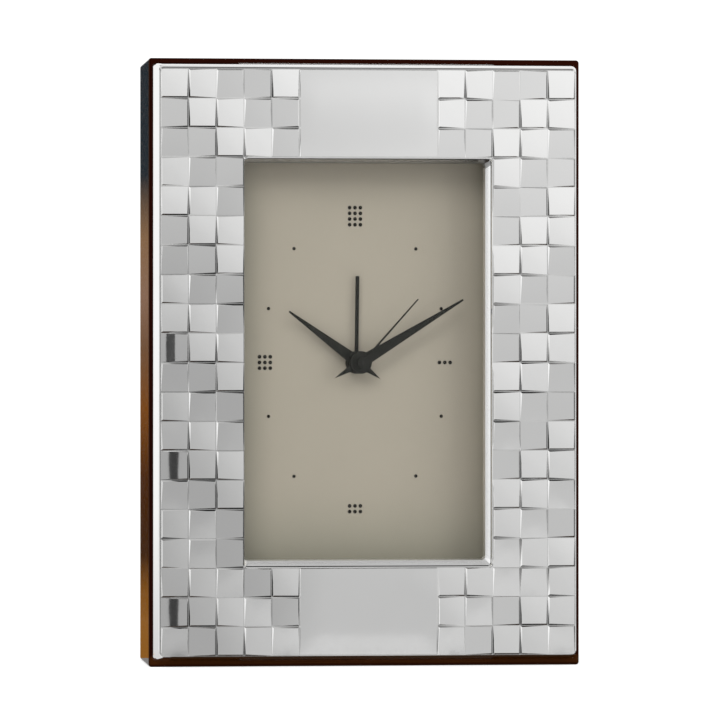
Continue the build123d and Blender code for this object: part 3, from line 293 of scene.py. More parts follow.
def tile_way(spot):
    """Which side of a tile stands up: 0 the lower, 1 the right, 2 the upper, 3 the left."""
    return way_of(*cell(spot))


def cell(spot):
    """The column and row of the tile at a place."""
    return round(spot.x / pitch_across + middle_column), round(middle_row - spot.y / pitch_up)


def tile_middle(column, row, level=0):
    """The place of a tile's middle on the flat drawing."""
    side = (column - middle_column) * pitch_across
    return Vector((side, (middle_row - row) * pitch_up, level))


def way_of(column, row):
    """The ways step round along each row and column, and slip by one near the foot."""
    slips = {(0, 16): 3, (1, 16): 2, (2, 16): 1, (13, 16): 3, (13, 17): 2, (14, 17): 3}
    if (column, row) in slips:
        return slips[(column, row)]
    last_before_slip = 16
    from_side = min(column, columns - 1 - column)
    way = (row - (row > last_before_slip) - from_side) % 4
    if column > middle_column and way % 2 == 1:
        way = 4 - way
    return way


def sides(reach):
    """The side, -1 left or 1 right, and the end, -1 lower or 1 upper, that a place is at."""
    return int(math.copysign(1, reach.x)), int(math.copysign(1, reach.y))


def raised(way, corner):
    """Whether a corner of a tile, counted from its middle, is on its raised side."""
    return (corner.y < 0, corner.x > 0, corner.y > 0, corner.x < 0)[way]


bpy.ops.object.select_all(action="DESELECT")
bpy.ops.mesh.primitive_grid_add(x_subdivisions=columns, y_subdivisions=rows, size=1)
bpy.ops.object.mode_set(mode="EDIT")
bpy.ops.transform.resize(value=(field_width, field_height, 1))
bpy.ops.transform.translate(value=(0, 0, sheet_top))
choose("FACE", in_window)
bpy.ops.mesh.delete(type="FACE")

# The tiles: each is set in by half a groove, lifted a little, and then tipped up at one side
choose("FACE", lambda face: not in_band(face))
bpy.ops.mesh.inset(thickness=groove / 2, use_individual=True)
bpy.ops.mesh.inset(thickness=low_rise * flank_slope, depth=low_rise, use_individual=True)
shape = bmesh.from_edit_mesh(bpy.context.edit_object.data)
corners = {(side, end): set() for side in (-1, 1) for end in (-1, 1)}
for face in shape.faces:
    spot = middle(face)
    if spot.z > sheet_top + low_rise * 0.9 and not in_band(face):
        for corner in face.verts:
            reach = corner.co - spot
            if raised(tile_way(spot), reach):
                corners[sides(reach)].add(corner.index)
for (side, end), tipped in corners.items():
    choose("VERT", lambda corner: corner.index in tipped)
    tip = (-side * tipped_in, -end * tipped_in, high_rise - low_rise)
    bpy.ops.transform.translate(value=tip)


def on_tile_top(face):
    stands_high = len(face.verts) == 4 and middle(face).z > sheet_top + 1.5 * low_rise
    return stands_high and abs(face.normal.z) > 0.95 and face.calc_area() > 20


# The sheet was pressed by hand over a worn die, so no two tiles lie quite alike, and each
# has a slight crown
choose("FACE", on_tile_top)
bpy.ops.transform.vertex_random(offset=unevenness, seed=4)
choose("FACE", on_tile_top)
bpy.ops.mesh.subdivide(number_cuts=3)
for crown in crowns:
    bpy.ops.mesh.select_less()
    bpy.ops.transform.translate(value=(0, 0, crown))

# Three tiles by the left edge are bent down along one or two upright folds
for row, folds in ((9, (-1,)), (13, (-1, 1)), (18, (-1, 1))):
    tile = tile_middle(0, row, sheet_top)
    shape = bmesh.from_edit_mesh(bpy.context.edit_object.data)
    bent = set()
    for corner in shape.verts:
        reach = corner.co - tile
        if abs(reach.x) < half_tile and abs(reach.y) < half_tile and reach.z > 0.02:
            bent.add(corner.index)
    for side in folds:
        fold = tile.x + side * fold_from_middle
        choose("VERT", lambda corner: corner.index in bent and corner.co.x < fold)
        bpy.ops.transform.translate(value=(0, 0, -fold_depth / (1 + len(folds))))

# The two plain bands, each pressed up as one field with a shallow crown
choose("FACE", in_band)
bpy.ops.mesh.inset(thickness=groove / 2)
bpy.ops.mesh.inset(thickness=band_edge, depth=band_rise)
bpy.ops.mesh.subdivide(number_cuts=5)
choose("FACE", lambda face: in_band(face) and middle(face).z > sheet_top + band_rise - 0.01)
bpy.ops.mesh.hide(unselected=True)

# Each bend of the bands: its line, its gap to their sides, its lift, and how far and in
# what curve it spreads
foot_line = -field_height / 2 + groove / 2 + band_edge
bends = (
    (8.6 * pitch_up, 5, 0.12, 10, "SMOOTH"),
    (-8.1 * pitch_up, 7, 0.34, 17, "SMOOTH"),
    (foot_line, 0, -0.17, 9, "SHARP"),
)
for line, end_gap, lift, reach, falloff in bends:
    choose("VERT", lambda corner: not corner.hide and abs(corner.co.y - line) < 1 and (
        abs(corner.co.x) <= band_half_width - end_gap))
    bpy.ops.transform.translate(
        value=(0, 0, lift),
        use_proportional_edit=True,
        proportional_edit_falloff=falloff,
        proportional_size=reach,
        use_proportional_connected=True,
    )
bpy.ops.mesh.reveal(select=False)


def draw_round(profile, width, height, radius):
    """Draws a loop of open edges out through steps: left, right, up and down, and a level."""
    choose("EDGE", lambda edge: on_rim(edge, width, height) and at_corner(edge, width, height))
    corner_cuts = 19
    bpy.ops.mesh.subdivide(number_cuts=corner_cuts)
    choose("EDGE", lambda edge: on_rim(edge, width, height))
    for left, right, top, bottom, level in profile:
        bpy.ops.mesh.extrude_edges_move()
        shape = bmesh.from_edit_mesh(bpy.context.edit_object.data)
        loop = [corner.co for corner in shape.verts if corner.select]
        wide = max(spot.x for spot in loop) - min(spot.x for spot in loop)
        high = max(spot.y for spot in loop) - min(spot.y for spot in loop)
        new_wide = 2 * width + left + right
        new_high = 2 * height + top + bottom
        bpy.ops.transform.resize(value=(new_wide / wide, new_high / high, 1))
        shape = bmesh.from_edit_mesh(bpy.context.edit_object.data)
        loop = [corner.co for corner in shape.verts if corner.select]
        shift_x = width + right - max(spot.x for spot in loop)
        shift_y = height + top - max(spot.y for spot in loop)
        bpy.ops.transform.translate(value=(shift_x, shift_y, level - loop[0].z))
        middle_x = (right - left) / 2
        middle_y = (top - bottom) / 2
        shape = bmesh.from_edit_mesh(bpy.context.edit_object.data)
        for corner in shape.verts:
            past_x = abs(corner.co.x - middle_x) - (new_wide / 2 - radius)
            past_y = abs(corner.co.y - middle_y) - (new_high / 2 - radius)
            if corner.select and past_x > 0 and past_y > 0:
                reach = radius / math.hypot(past_x, past_y)
                side, end = sides(corner.co)
                corner.co.x += side * past_x * (reach - 1)
                corner.co.y += end * past_y * (reach - 1)
        bmesh.update_edit_mesh(bpy.context.edit_object.data)


def on_rim(edge, width, height):
    """Whether an open edge lies on a rectangle of this half width and half height."""
    spot = (edge.verts[0].co + edge.verts[1].co) / 2
    off_side = abs(abs(spot.x) - width) > 0.01
    off_end = abs(abs(spot.y) - height) > 0.01
    return edge.is_boundary and not (off_side and off_end) and (
        abs(spot.x) < width + 0.01 and abs(spot.y) < height + 0.01)


def at_corner(edge, width, height):
    """Whether an edge ends at a corner of that rectangle."""
    ends = [corner.co for corner in edge.verts]
    return any(abs(abs(spot.x) - width) + abs(abs(spot.y) - height) < 0.02 for spot in ends)


# The bead and the sloping flank round the window, drawn in and down to the glass
window_profile = (
    (0.0, -0.08, -0.06, 0.0, sheet_top + 0.22),
    (-0.02, -0.16, -0.16, -0.04, sheet_top + 0.3),
    (-0.06, -0.26, -0.28, -0.16, sheet_top + 0.22),
    (-0.1, -0.36, -0.36, -0.24, sheet_top - 0.05),
    (-0.14, -0.52, -0.5, -0.5, sheet_top - 0.1),
    (-0.4, -1.55, -1.4, -1.9, sheet_top - 1.45),
    (-0.7, -1.65, -1.6, -2.2, wood_front - 0.03),
)
draw_round(window_profile, window_half_width, window_half_height, 0.9)

# The outer border, a low bead that falls away outwards, and the skirt that covers the
# core down to the wood
skirt_profile = (
    (0.3, 0.02, 0.3, 0.01, sheet_top),
    (0.36, 0.12, 0.36, 0.02, sheet_top + 0.22),
    (0.42, 0.16, 0.46, 0.04, sheet_top + 0.25),
    (0.46, 0.26, 0.92, 0.1, sheet_top + 0.22),
    (0.62, 0.36, 1.02, 0.14, sheet_top),
    (0.74, 0.44, 1.12, 0.24, sheet_top - 0.25),
    (1.4, 0.97, 1.6, 1.15, wood_front),
)
draw_round(skirt_profile, field_width / 2, field_height / 2, 1.2)

# Painted shade: each groove whose sides both stand high is painted black, the more the
# higher the lower side stands, and so are a line at the foot of the window's bead, but at
# its upper left, and the groove round the outer border. The flank under the top of the
# window, which faces down, gets a painted dark reflection.
shape = bmesh.from_edit_mesh(bpy.context.edit_object.data)
groove_shade_layer = shape.loops.layers.float_color.new("groove_black")
rim_rise = 0.3
band_side_rise = 0.12
shade_free_rise = 0.1
bead_shade = 0.8
lintel_dark_reflection = 1.3
moat_shade = 1.2
flank_lean = 0.97


def stands(column, row, side, end):
    """How high the sheet stands at one corner of a tile, rim or band."""
    on_field = 0 <= column < columns and 0 <= row < rows
    across_window = abs(column - middle_column) < (window_columns + 1) / 2
    up_window = abs(row - middle_row) < (window_rows + 1) / 2
    if not on_field or (across_window and up_window):
        return rim_rise
    if abs(column - middle_column) < (band_columns + 1) / 2:
        return band_side_rise
    return high_rise if raised(way_of(column, row), Vector((side, end, 0))) else low_rise


# The painted shade is set face by face on each corner, and so is the painted dark reflection on
# the flank under the window's top.
for face in shape.faces:
    spot = middle(face)
    column, row = cell(spot)
    tile = tile_middle(column, row)
    reach = spot - tile
    on_field = abs(spot.x) < field_width / 2 and abs(spot.y) < field_height / 2
    at_flank = on_field and not in_window(face) and abs(face.normal.z) < flank_lean
    at_bead = in_window(face) and -0.12 < spot.z - sheet_top < -0.03
    at_bead = at_bead and (spot.y < 0 or spot.x > 0)
    under_lintel = spot.y > window_half_height - 2.5 and spot.z < sheet_top - 0.12
    at_lintel = in_window(face) and under_lintel
    at_moat = not on_field and abs(spot.z - sheet_top) < 0.01
    upright = abs(reach.x) / pitch_across > abs(reach.y) / pitch_up
    for loop in face.loops:
        black = bead_shade if at_bead else lintel_dark_reflection if at_lintel else moat_shade * at_moat
        if at_flank and spot.z < sheet_top + high_rise * 0.8:
            side, end = sides(loop.vert.co - tile)
            mine = stands(column, row, side, end)
            if upright:
                other = stands(column + side, row, -side, end)
            else:
                other = stands(column, row - end, side, -end)
            black = max(0, min(mine, other) - shade_free_rise) / (high_rise - shade_free_rise)
        loop[groove_shade_layer] = (black, black, black, 1)
bmesh.update_edit_mesh(bpy.context.edit_object.data)
bpy.ops.object.mode_set(mode="OBJECT")
bpy.ops.object.shade_smooth_by_angle(angle=facet_angle)

silver = Finish("polished silver", {"Metallic": 1.0})
black = silver.node("Attribute", {"attribute_name": "groove_black"}, {}, "Fac")
silver_x, silver_z = silver.axes("XZ")
tarnish = silver.noise(0.09, 3) * 0.1
bright = silver.mix(tarnish, (0.93, 0.93, 0.925), (0.7, 0.69, 0.66))
# The painted shade and the painted dark reflection blacken the polished colour here.
silver.feed({"Base Color": silver.mix(black * 0.5, bright, (0.1, 0.098, 0.094))})
beside_window = (35, 36)
flank_levels = (13.8, 15.1)
in_opening = 1 - abs(silver_x).rise(*beside_window)
low_flank = (1 - silver_z.rise(*flank_levels)) * in_opening
silver.feed({"Roughness": 0.06 + low_flank * 0.3 + silver.noise(0.5, 3) * 0.03})
silver.bump(silver.noise(0.3, 2), 0.004)

# The sheet, drawn lying flat, is stood up on the clock
front = bpy.context.object
front.name = "silver_sheet"
front.data.name = "silver_sheet"
bpy.ops.object.select_all(action="DESELECT")
front.select_set(True)
bpy.context.view_layer.objects.active = front
front.matrix_world = standing @ Matrix.Scale(mm, 4)
bpy.ops.object.transform_apply(location=True, rotation=True, scale=True)
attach(front, "frame")
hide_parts("silver_front")
coat(front, silver)

# Resin core: the cast backing that fills the pressed sheet, pale and matt. It is hidden
# between the silver and the wood, which it is glued to.
resin = Finish("cast resin", {"Roughness": 0.6})
resin.feed({"Base Color": resin.mix(resin.noise(0.4, 3), (0.66, 0.63, 0.56), (0.76, 0.73, 0.67))})
resin.bump(resin.noise(3, 2), 0.02)
coat(nodes["front_core"], resin)

# Glass: a flat clear pane, cut from a sheet and ground at its edges. It is pressed
# between the wood's rebate and the core.
pane = Finish("clear glass", {
    "Base Color": (0.98, 0.99, 0.98),
    "Transmission Weight": 1.0,
    "Roughness": 0.0,
    "IOR": 1.2,
})
to_lamp = pane.node("LightPath", {}, {}, "Is Shadow Ray")
to_dial = pane.node("LightPath", {}, {}, "Is Diffuse Ray")
clear = pane.node("BsdfTransparent", {}, {})
glassy = Signal(pane, pane.surface.outputs[0])
pane.show(pane.node("MixShader", {}, {0: to_lamp + to_dial, 1: glassy, 2: clear}))
coat(nodes["dial_glass"], pane)

# Lining: a strip of grey card, cut and folded round the inside of the window. It holds
# the glass and the dial apart.
card = Finish("grey card", {"Roughness": 0.85})
card.feed({"Base Color": card.mix(card.noise(1.5, 4), (0.22, 0.205, 0.17), (0.27, 0.25, 0.21))})
card.bump(card.noise(6, 3), 0.02)
coat(nodes["glass_spacer"], card)

# Dial: a thin metal plate, stamped and sprayed in satin champagne. Its colour is painted
# darker towards its sides and its foot, as painted shade from the walls of the window.
champagne = Finish("satin champagne", {"Roughness": 0.5, "Specular IOR Level": 0.2})
dial_x, dial_y = champagne.axes("XY")
left_shade = (24, 38)
right_shade = (31, 42)
foot_shade = (30, 58)
# Painted shade: the colour darkens near the left and right sides and towards the foot.
near_side = (1 - dial_x).rise(*left_shade) + dial_x.rise(*right_shade)
near_end = (0 - dial_y).rise(*foot_shade)
edge_shade = near_side + near_end - near_side * near_end
cloud = champagne.noise(0.05, 1)
dial_tone = champagne.mix(cloud, (0.425, 0.383, 0.31), (0.442, 0.397, 0.322))
edge_shade_tone = champagne.mix(cloud, (0.325, 0.31, 0.245), (0.345, 0.325, 0.255))
champagne.feed({"Base Color": champagne.mix(edge_shade, dial_tone, edge_shade_tone)})
champagne.bump(champagne.noise(4, 3), 0.012)
coat(nodes["dial"], champagne)

# Hour dots: matt black ink, printed thickly on the dial through a screen, in blocks at the
# quarters and as single dots at the other hours.
ink = Finish("black ink", {"Roughness": 0.7, "Specular IOR Level": 0.1})
ink.feed({"Base Color": ink.mix(ink.noise(6, 2), (0.012, 0.01, 0.008), (0.02, 0.018, 0.015))})
coat(nodes["dial_dots"], ink)

# Hands: stamped from thin sheet brass and painted matt black. Each is pressed on its own
# pipe or arbor.
paint = Finish("matt black paint", {"Roughness": 0.55, "Specular IOR Level": 0.15})
brushed = paint.noise(3, 3)
paint.feed({"Base Color": paint.mix(brushed, (0.007, 0.007, 0.005), (0.012, 0.012, 0.009))})
paint.bump(paint.noise(5, 2), 0.01)
for hand in ("alarm_hand", "hour_hand", "minute_hand", "second_hand"):
    coat(nodes[hand], paint)

# Back board: black flocked hardboard that closes the frame behind, let into the rebate and
# held by six screws, with an opening for the movement.
flock = Finish("black flocked board", {
    "Roughness": 0.95,
    "Specular IOR Level": 0.15,
    "Sheen Weight": 0.35,
})
pile = flock.noise(9, 4)
nap = pile * 0.6 + flock.noise(0.06, 3) * 0.4
flock.feed({"Base Color": flock.mix(nap, (0.006, 0.006, 0.006), (0.026, 0.024, 0.023))})
flock.bump(pile, 0.06)
coat(nodes["back_board"], flock)

# Screws: small steel screws, turned, zinc plated and tumbled. They hold the board, the
# movement, its cover and its inner plate, and the stand's clips.
zinc = Finish("zinc plated steel", {"Metallic": 1.0})
zinc_spots = zinc.noise(2.5, 4)
zinc.feed({"Base Color": zinc.mix(zinc_spots, (0.5, 0.5, 0.49), (0.68, 0.68, 0.66))})
zinc.feed({"Roughness": 0.22 + zinc_spots * 0.22})
zinc.bump(zinc.noise(7, 2), 0.008)
for screws in ("back_board", "movement", "cover", "train_plate", "stand_clip"):
    coat(nodes[screws + "_screws"], zinc)

# Movement case, its cover and the chip: moulded in black plastic with a fine spark-eroded
# grain, glossier where hands have rubbed it.
moulded = Finish("black moulded plastic", {"Specular IOR Level": 0.4})
eroded = moulded.noise(6, 3)
handled = moulded.noise(0.12, 3)
moulded.feed({"Base Color": moulded.mix(handled, (0.012, 0.012, 0.013), (0.022, 0.022, 0.024))})
moulded.feed({"Roughness": 0.38 + eroded * 0.18 - handled * 0.08})
moulded.bump(eroded, 0.025)
for part in ("movement_case", "movement_cover", "circuit_chip"):
    coat(nodes[part], moulded)

# Setting knobs: the same plastic, moulded with flutes and a smoother face. Each is pressed
# on its pinion behind the cover.
knob_plastic = Finish("black knob plastic", {"Specular IOR Level": 0.45})
fine = knob_plastic.noise(9, 2)
knob_tone = knob_plastic.mix(fine, (0.014, 0.014, 0.015), (0.02, 0.02, 0.021))
knob_plastic.feed({"Base Color": knob_tone})
knob_plastic.feed({"Roughness": 0.3 + fine * 0.12})
knob_plastic.bump(fine, 0.01)
for part in ("time_knob", "alarm_knob"):
    coat(nodes[part], knob_plastic)

# Alarm switch, wheels, pinions, inner plate and bobbin: natural white acetal, moulded, a
# little waxy and yellowed.
acetal = Finish("natural white plastic", {"Specular IOR Level": 0.4})
waxy = acetal.noise(0.5, 4)
acetal.feed({"Base Color": acetal.mix(waxy, (0.66, 0.63, 0.55), (0.76, 0.74, 0.68))})
acetal.feed({"Roughness": 0.34 + acetal.noise(3, 2) * 0.14})
acetal.bump(acetal.noise(5, 3), 0.012)
acetal_parts = (
    "alarm_switch", "train_plate", "coil_bobbin", "rotor_pinion", "intermediate_wheel",
    "third_wheel", "centre_wheel", "cannon_pinion", "motion_wheel", "hour_wheel",
    "setting_pinion", "alarm_wheel", "alarm_pinion",
)
for part in acetal_parts:
    coat(nodes[part], acetal)

# Second wheel: the same plastic, moulded in one with its arbor. The arbor's end is painted
# black, as the hand that it carries is.


def drawn_box(node):
    """The two corners of a CAD node's box, on the flat drawing."""
    return [standing.inverted() @ Vector(corner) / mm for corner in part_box(node)]


painted_from = drawn_box("second_hand")[0].z - 2
wheel = Finish("second wheel", {"Specular IOR Level": 0.3, "Roughness": 0.45})
painted = wheel.axes("Z")[0].rise(painted_from, painted_from + 0.1)
milky = wheel.mix(wheel.noise(0.5, 4), (0.66, 0.63, 0.55), (0.76, 0.74, 0.68))
wheel.feed({"Base Color": wheel.mix(painted, milky, (0.008, 0.008, 0.006))})
wheel.bump(wheel.noise(5, 3), 0.012)
coat(nodes["second_wheel"], wheel)

# Stator and quartz can: bright nickel iron, with the rolling lines along it. The stator is
# stamped from sheet, and the can is drawn.
nickel = Finish("nickel iron", {"Metallic": 1.0})
rolled = nickel.noise(3, 3, (1, 12, 1))
nickel.feed({"Base Color": nickel.mix(rolled, (0.5, 0.48, 0.45), (0.64, 0.62, 0.58))})
nickel.feed({"Roughness": 0.25 + rolled * 0.2})
nickel.bump(rolled, 0.006)
for part in ("stator", "quartz_crystal"):
    coat(nodes[part], nickel)

# Rotor magnet: a dark sintered ring, ground round and pressed on the rotor pinion's
# arbor.
sintered = Finish("sintered magnet", {"Metallic": 0.7})
pits = sintered.noise(8, 4)
sintered.feed({"Base Color": sintered.mix(pits, (0.06, 0.06, 0.065), (0.16, 0.16, 0.17))})
sintered.feed({"Roughness": 0.4 + pits * 0.25})
sintered.bump(pits, 0.02)
coat(nodes["rotor_magnet"], sintered)

# Coil winding: fine enamelled copper wire, laid turn beside turn along the bobbin and
# baked into one body.
copper = Finish("enamelled copper wire", {
    "Metallic": 0.9,
    "Roughness": 0.3,
    "Coat Roughness": 0.1,
})
turns_per_mm = 5
turns = abs((copper.axes("Y")[0] * turns_per_mm).fraction() - 0.5) * 2
lay = copper.noise(1.2, 3, (4, 1, 4))
# Painted shade: the wire is darker between its turns, with a random tone of the lay over it.
shade = turns * 0.5 + lay * 0.5
copper.feed({"Base Color": copper.mix(shade, (0.62, 0.22, 0.09), (0.3, 0.08, 0.03))})
copper.feed({"Coat Weight": 0.5 + lay * 0.2})
copper.bump(1 - turns, 0.08)
coat(nodes["coil_winding"], copper)

# Circuit board: a strip of glass-fibre board, etched and cut out, with green lacquer over
# its copper tracks.
board = Finish("green circuit board", {"Roughness": 0.3, "Specular IOR Level": 0.5})
tracks_per_mm = 0.9
lines = abs((board.axes("X")[0] * tracks_per_mm).fraction() - 0.5).rise(0.2, 0.24)
tracks = lines * board.noise(0.35, 1).rise(0.42, 0.46)
board.feed({"Base Color": board.mix(tracks, (0.012, 0.09, 0.03), (0.04, 0.2, 0.07))})
board.bump(tracks, 0.03)
coat(nodes["circuit_board"], board)

# Buzzer: a brass disc, stamped from sheet, with a white ceramic disc fired on its middle.
# It is held in the case by its rim.
ceramic_radius = 5.4
buzzer_low, buzzer_high = drawn_box("buzzer_disc")
buzzer_spot = (buzzer_low + buzzer_high) / 2
buzzer = Finish("brass and ceramic disc")
buzzer_x, buzzer_y = buzzer.axes("XY")
from_middle = ((buzzer_x - buzzer_spot.x) ** 2 + (buzzer_y - buzzer_spot.y) ** 2) ** 0.5
metal = from_middle.rise(ceramic_radius, ceramic_radius + 0.1)
mottle = buzzer.noise(2, 4)
buzzer.feed({"Base Color": buzzer.mix(metal, (0.72, 0.71, 0.67), (0.72, 0.5, 0.2))})
buzzer.feed({"Metallic": metal, "Roughness": 0.3 + mottle * 0.2})
buzzer.bump(1 - metal + mottle * 0.1, 0.05)
coat(nodes["buzzer_disc"], buzzer)

# Contacts: thin spring brass strip, stamped and folded, and rubbed bright. They sit in
# seats of the case.
spring = Finish("spring brass", {"Metallic": 1.0})
drawn = spring.noise(2, 4, (6, 1, 1))
spring.feed({"Base Color": spring.mix(drawn, (0.62, 0.42, 0.15), (0.8, 0.6, 0.28))})
spring.feed({"Roughness": 0.2 + drawn * 0.2})
spring.bump(drawn, 0.006)
for part in ("alarm_contact", "battery_contact_minus", "battery_contact_plus"):
    coat(nodes[part], spring)

# Battery: a drawn steel can in a plain dark sleeve with a grey band, which is shrunk on
# and leaves both ends bare.
left_bare = 0.5
right_bare = 2.4
band_width = 9
cell_left, cell_right = sorted(corner.x for corner in drawn_box("battery"))
sleeve = Finish("battery sleeve", {"Specular IOR Level": 0.5})
cell_x = sleeve.axes("X")[0]
past_left_end = (cell_x - cell_left).rise(left_bare, left_bare + 0.1)
past_right_end = (cell_right - cell_x).rise(right_bare - 0.1, right_bare)
bare = 2 - past_left_end - past_right_end
band = 1 - (cell_right - cell_x).rise(band_width - 0.1, band_width)
scuff = sleeve.noise(1.5, 5, (4, 1, 1))
wrap = sleeve.mix(band, (0.03, 0.034, 0.04), (0.3, 0.31, 0.32))
sleeve.feed({"Base Color": sleeve.mix(bare, wrap, (0.62, 0.61, 0.58))})
sleeve.feed({"Metallic": bare * 0.8 + 0.2, "Roughness": 0.24 + scuff * 0.18})
sleeve.bump(scuff - bare, 0.015)
coat(nodes["battery"], sleeve)

# Wire stand: one length of hard brass wire, bent cold, polished and lacquered. Two brass
# clips hold its pivot to the board.
brass = Finish("lacquered brass", {"Metallic": 1.0, "Coat Roughness": 0.08, "Coat Weight": 0.4})
pulled = brass.noise(1.5, 4, (1, 8, 1))
aged = brass.noise(0.15, 3)
brass.feed({"Base Color": brass.mix(aged, (0.78, 0.56, 0.22), (0.62, 0.4, 0.14))})
brass.feed({"Roughness": 0.16 + pulled * 0.12 + aged * 0.06})
brass.bump(pulled, 0.008)
for part in ("wire_stand", "stand_clips"):
    coat(nodes[part], brass)

# Stand sleeve: black rubber tube, cut to length and pushed over the foot of the wire. Its
# surface is dusty.
rubber = Finish("black rubber", {"Specular IOR Level": 0.25, "Sheen Weight": 0.1})
dust = rubber.noise(1.2, 5)
rubber.feed({"Base Color": rubber.mix(dust, (0.01, 0.01, 0.01), (0.035, 0.034, 0.032))})
rubber.feed({"Roughness": 0.65 + dust * 0.2})
rubber.bump(rubber.noise(4, 3), 0.03)
coat(nodes["stand_sleeve"], rubber)

# A pale floor, with the clock's own soft shadow on it. It shows white to the camera, and in
# the silver it is white behind the clock and grey before it.
bpy.ops.mesh.primitive_plane_add(size=60, location=(0, 0, 0))
floor = bpy.context.object
floor.name = "floor"
paper = Finish("white floor", {
    "Roughness": 0.9,
    "Specular IOR Level": 0.0,
    "Emission Color": (1, 1, 1),
})
seen = paper.node("LightPath", {}, {}, "Is Camera Ray")
mirrored = paper.node("LightPath", {}, {}, "Is Glossy Ray")
through = paper.node("LightPath", {}, {}, "Is Transmission Ray")
paper.feed({"Base Color": paper.mix(mirrored, (0.85, 0.85, 0.85), (0, 0, 0))})
floor_spot = paper.node("TexCoord", {}, {}, "Object")
behind = paper.node("SeparateXYZ", {}, {0: floor_spot}, "Y").rise(-0.1, 0.3)
paper.feed({"Emission Strength": (seen + through) * 0.6 + mirrored * (0.68 + 0.32 * behind)})
coat(floor, paper)

# Screens round the studio, which show only in the silver: a pale one in front to the
# right, brighter towards its upper right, with a strip of far floor under it, dark
# curtains beside and above it, a ceiling, and a dark mat before the clock.


def toward(azimuth, elevation):
    """The way from the clock to a place to its front, right and up, in degrees."""
    side = math.radians(azimuth)
    rise = math.radians(elevation)
    return Vector((
        math.sin(side) * math.cos(rise),
        -math.cos(side) * math.cos(rise),
        math.sin(rise),
    ))


def panel_at(name, place, turn, width, height, finish):
    """Sets up a flat panel that only mirrors see."""
    bpy.ops.mesh.primitive_plane_add(size=1)
    panel = bpy.context.object
    panel.name = name
    panel.scale = (width, height, 1)
    panel.location = place
    panel.rotation_euler = turn
    bpy.ops.object.transform_apply(location=False, rotation=False, scale=True)
    panel.data.materials.append(finish.material)
    panel.visible_camera = False
    panel.visible_diffuse = False
    panel.visible_transmission = False
    panel.visible_shadow = False


def screen(name, azimuth, elevation, away, width, height, finish):
    """Hangs a panel so that it faces the clock."""
    way = toward(azimuth, elevation)
    turn = (-way).to_track_quat("Z", "Y").to_euler()
    panel_at(name, way * away + clock_middle, turn, width, height, finish)


def glow(name, colour=(0, 0, 0)):
    """A panel's finish, which gives off its own light and nothing else."""
    return Finish(name, {
        "Base Color": (0, 0, 0),
        "Specular IOR Level": 0.0,
        "Emission Color": colour,
        "Emission Strength": 1.0,
    })


clock_middle = Vector((0, 0, 0.08))
flat = (0, 0, 0)
upright = (math.radians(90), 0, 0)
pale = glow("pale screen")
spot = pale.node("TexCoord", {}, {}, "Object")
right = 0 - pale.node("SeparateXYZ", {}, {0: spot}, "X")
high = pale.node("SeparateXYZ", {}, {0: spot}, "Y")
light = 0.62 + 0.38 * (right + high * 1.1).rise(-0.3, 0.3)
pale.feed({"Emission Color": pale.node("CombineColor", {}, {0: light, 1: light, 2: light})})
far_floor = glow("far floor", (0.76, 0.76, 0.76))
grey = glow("grey curtain", (0.075, 0.075, 0.075))
dark = glow("dark curtain", (0.03, 0.03, 0.03))
pale_ceiling = glow("pale ceiling", (0.55, 0.55, 0.55))
screen("pale_screen", 24, 10.6, 2.0, 1.5, 0.78, pale)
screen("far_floor", 24, 0, 2.3, 3.0, 0.4, far_floor)
screen("side_curtain", -17, 12, 2.05, 2.0, 1.5, grey)
screen("upper_curtain", 22, 30, 2.0, 1.5, 0.5, dark)
screen("ceiling", 0, 80, 0.6, 0.8, 0.8, pale_ceiling)
panel_at("dark_mat", (0.1, -0.34, 0.001), flat, 0.5, 0.3, dark)

# A warm card behind the left side and another on the floor by it, which show in the
# lacquer of that side alone, and a dark strip on the floor before the clock, which shows in
# the flanks of the tiles
card_height = 0.17
warm = glow("warm card")
card_spot = warm.node("TexCoord", {}, {}, "Object")
up_card = warm.node("SeparateXYZ", {}, {0: card_spot}, "Y") / card_height + 0.5
shades = warm.node("ValToRGB", {"stops": (
    (0.0, (1.0, 0.42, 0.06)),
    (0.13, (0.68, 0.26, 0.03)),
    (0.19, (0.12, 0.035, 0.003)),
    (0.31, (0.17, 0.045, 0.003)),
    (0.42, (0.58, 0.19, 0.02)),
    (0.52, (0.5, 0.26, 0.13)),
    (0.6, (0.78, 0.46, 0.3)),
    (0.69, (0.74, 0.43, 0.22)),
    (0.79, (0.03, 0.07, 0.1)),
)}, {0: up_card})
warm.feed({"Emission Color": shades})
warm_foot = glow("warm card on the floor", (0.85, 0.35, 0.06))
brown = glow("brown strip before the clock", (0.035, 0.02, 0.012))
panel_at("warm_card", (-0.08, 0.06, 0.07), upright, 0.048, card_height, warm)
panel_at("warm_card_below", (-0.067, 0.0245, 0.0006), flat, 0.022, 0.071, warm_foot)
panel_at("brown_strip", (0.064, -0.036, 0.0008), flat, 0.236, 0.07, brown)

# A veil just before the clock, which dims what the silver mirrors towards its lower left
# and lightens it towards its upper right
veil = Finish("veil")
veil_spot = veil.node("TexCoord", {}, {}, "Object")
veil_x = veil.node("SeparateXYZ", {}, {0: veil_spot}, "X")
veil_y = veil.node("SeparateXYZ", {}, {0: veil_spot}, "Y")
low = 1 - veil_y.rise(-0.03, 0.06)
left = 1 - veil_x.rise(-0.055, -0.01)
upper_right = veil_x.rise(-0.045, 0.045) * veil_y.rise(-0.035, 0.04)
haze = 0.13 * (1 - left) * (1 - low) + 0.3 * upper_right
share = 1 - 0.1 * low - 0.04 * left - 0.2 * low * left - haze
gap = veil.node("CombineColor", {}, {0: share, 1: share, 2: share})
clear_veil = veil.node("BsdfTransparent", {}, {"Color": gap})
lit_veil = veil.node("Emission", {}, {"Strength": haze * 0.92})
veil.show(veil.node("AddShader", {}, {0: clear_veil, 1: lit_veil}))
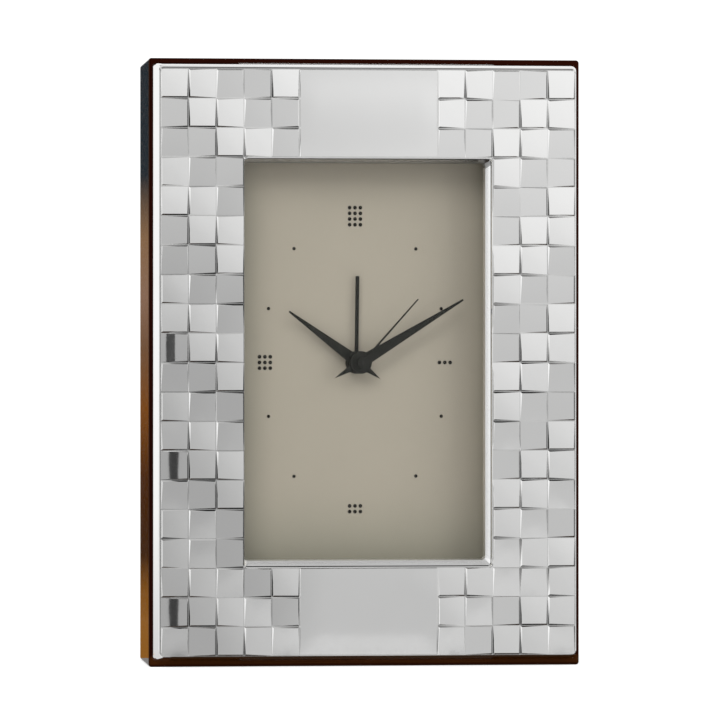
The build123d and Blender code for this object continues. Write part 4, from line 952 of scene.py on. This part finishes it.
veil_middle = standing @ (Vector((43, 17, 140)) * mm)
panel_at("veil", veil_middle, standing.to_euler(), 0.5, 0.5, veil)

# The studio's pale air, which is white to the camera and to mirrors and lights the clock
# softly, and two soft square lamps.


class Air(Finish):
    """The world's light, put together as a finish is."""

    def __init__(self, name, surface):
        world = bpy.data.worlds.new(name)
        world.use_nodes = True
        bpy.context.scene.world = world
        self.tree = world.node_tree
        self.surface = self.tree.nodes["Background"]
        self.feed(surface)


air = Air("studio", {"Color": (1, 1, 1)})
plain_strength = 0.55
shown = air.node("LightPath", {}, {}, "Is Camera Ray")
for kind in ("Glossy", "Transmission"):
    shown = shown + air.node("LightPath", {}, {}, f"Is {kind} Ray")
strength = {"Value": shown, "To Min": plain_strength, "To Max": 1}
air.feed({"Strength": air.node("MapRange", {}, strength)})


def lamp(name, spot, size, power):
    """A soft square lamp aimed at the clock, which the silver doesn't mirror."""
    bpy.ops.object.light_add(type="AREA", location=spot)
    light = bpy.context.object
    light.name = name
    light.data.size = size
    light.data.energy = power
    light.visible_glossy = False
    light.rotation_euler = (clock_middle - Vector(spot)).to_track_quat("-Z", "Y").to_euler()


lamp("key", (-1.2, -1.6, 1.8), 1.2, 22)
lamp("fill", (1.6, -1.4, 1.2), 1.6, 12)

# The camera stands 4.7 m away, 19 degrees to the left of the clock's own straight-ahead
# line, with a very long lens.
yaw = math.radians(19)
distance = 4.7
toward_camera = out * math.cos(yaw) - across * math.sin(yaw)
camera_right = across * math.cos(yaw) + out * math.sin(yaw)
left_of_axis = 1.336 * mm
above_axis = 0.648 * mm
aim = standing @ Vector((0, 0, wood_front * mm))
aim = aim - camera_right * left_of_axis + up * above_axis
bpy.ops.object.camera_add()
camera = bpy.context.object
camera.data.sensor_width = 36
camera.data.lens = 892
camera.data.clip_end = 100
camera_stand = Matrix((camera_right, up, toward_camera)).transposed().to_4x4()
camera_stand.translation = aim + toward_camera * distance
camera.matrix_world = camera_stand
bpy.context.scene.camera = camera

bpy.context.scene.view_settings.view_transform = "Standard"
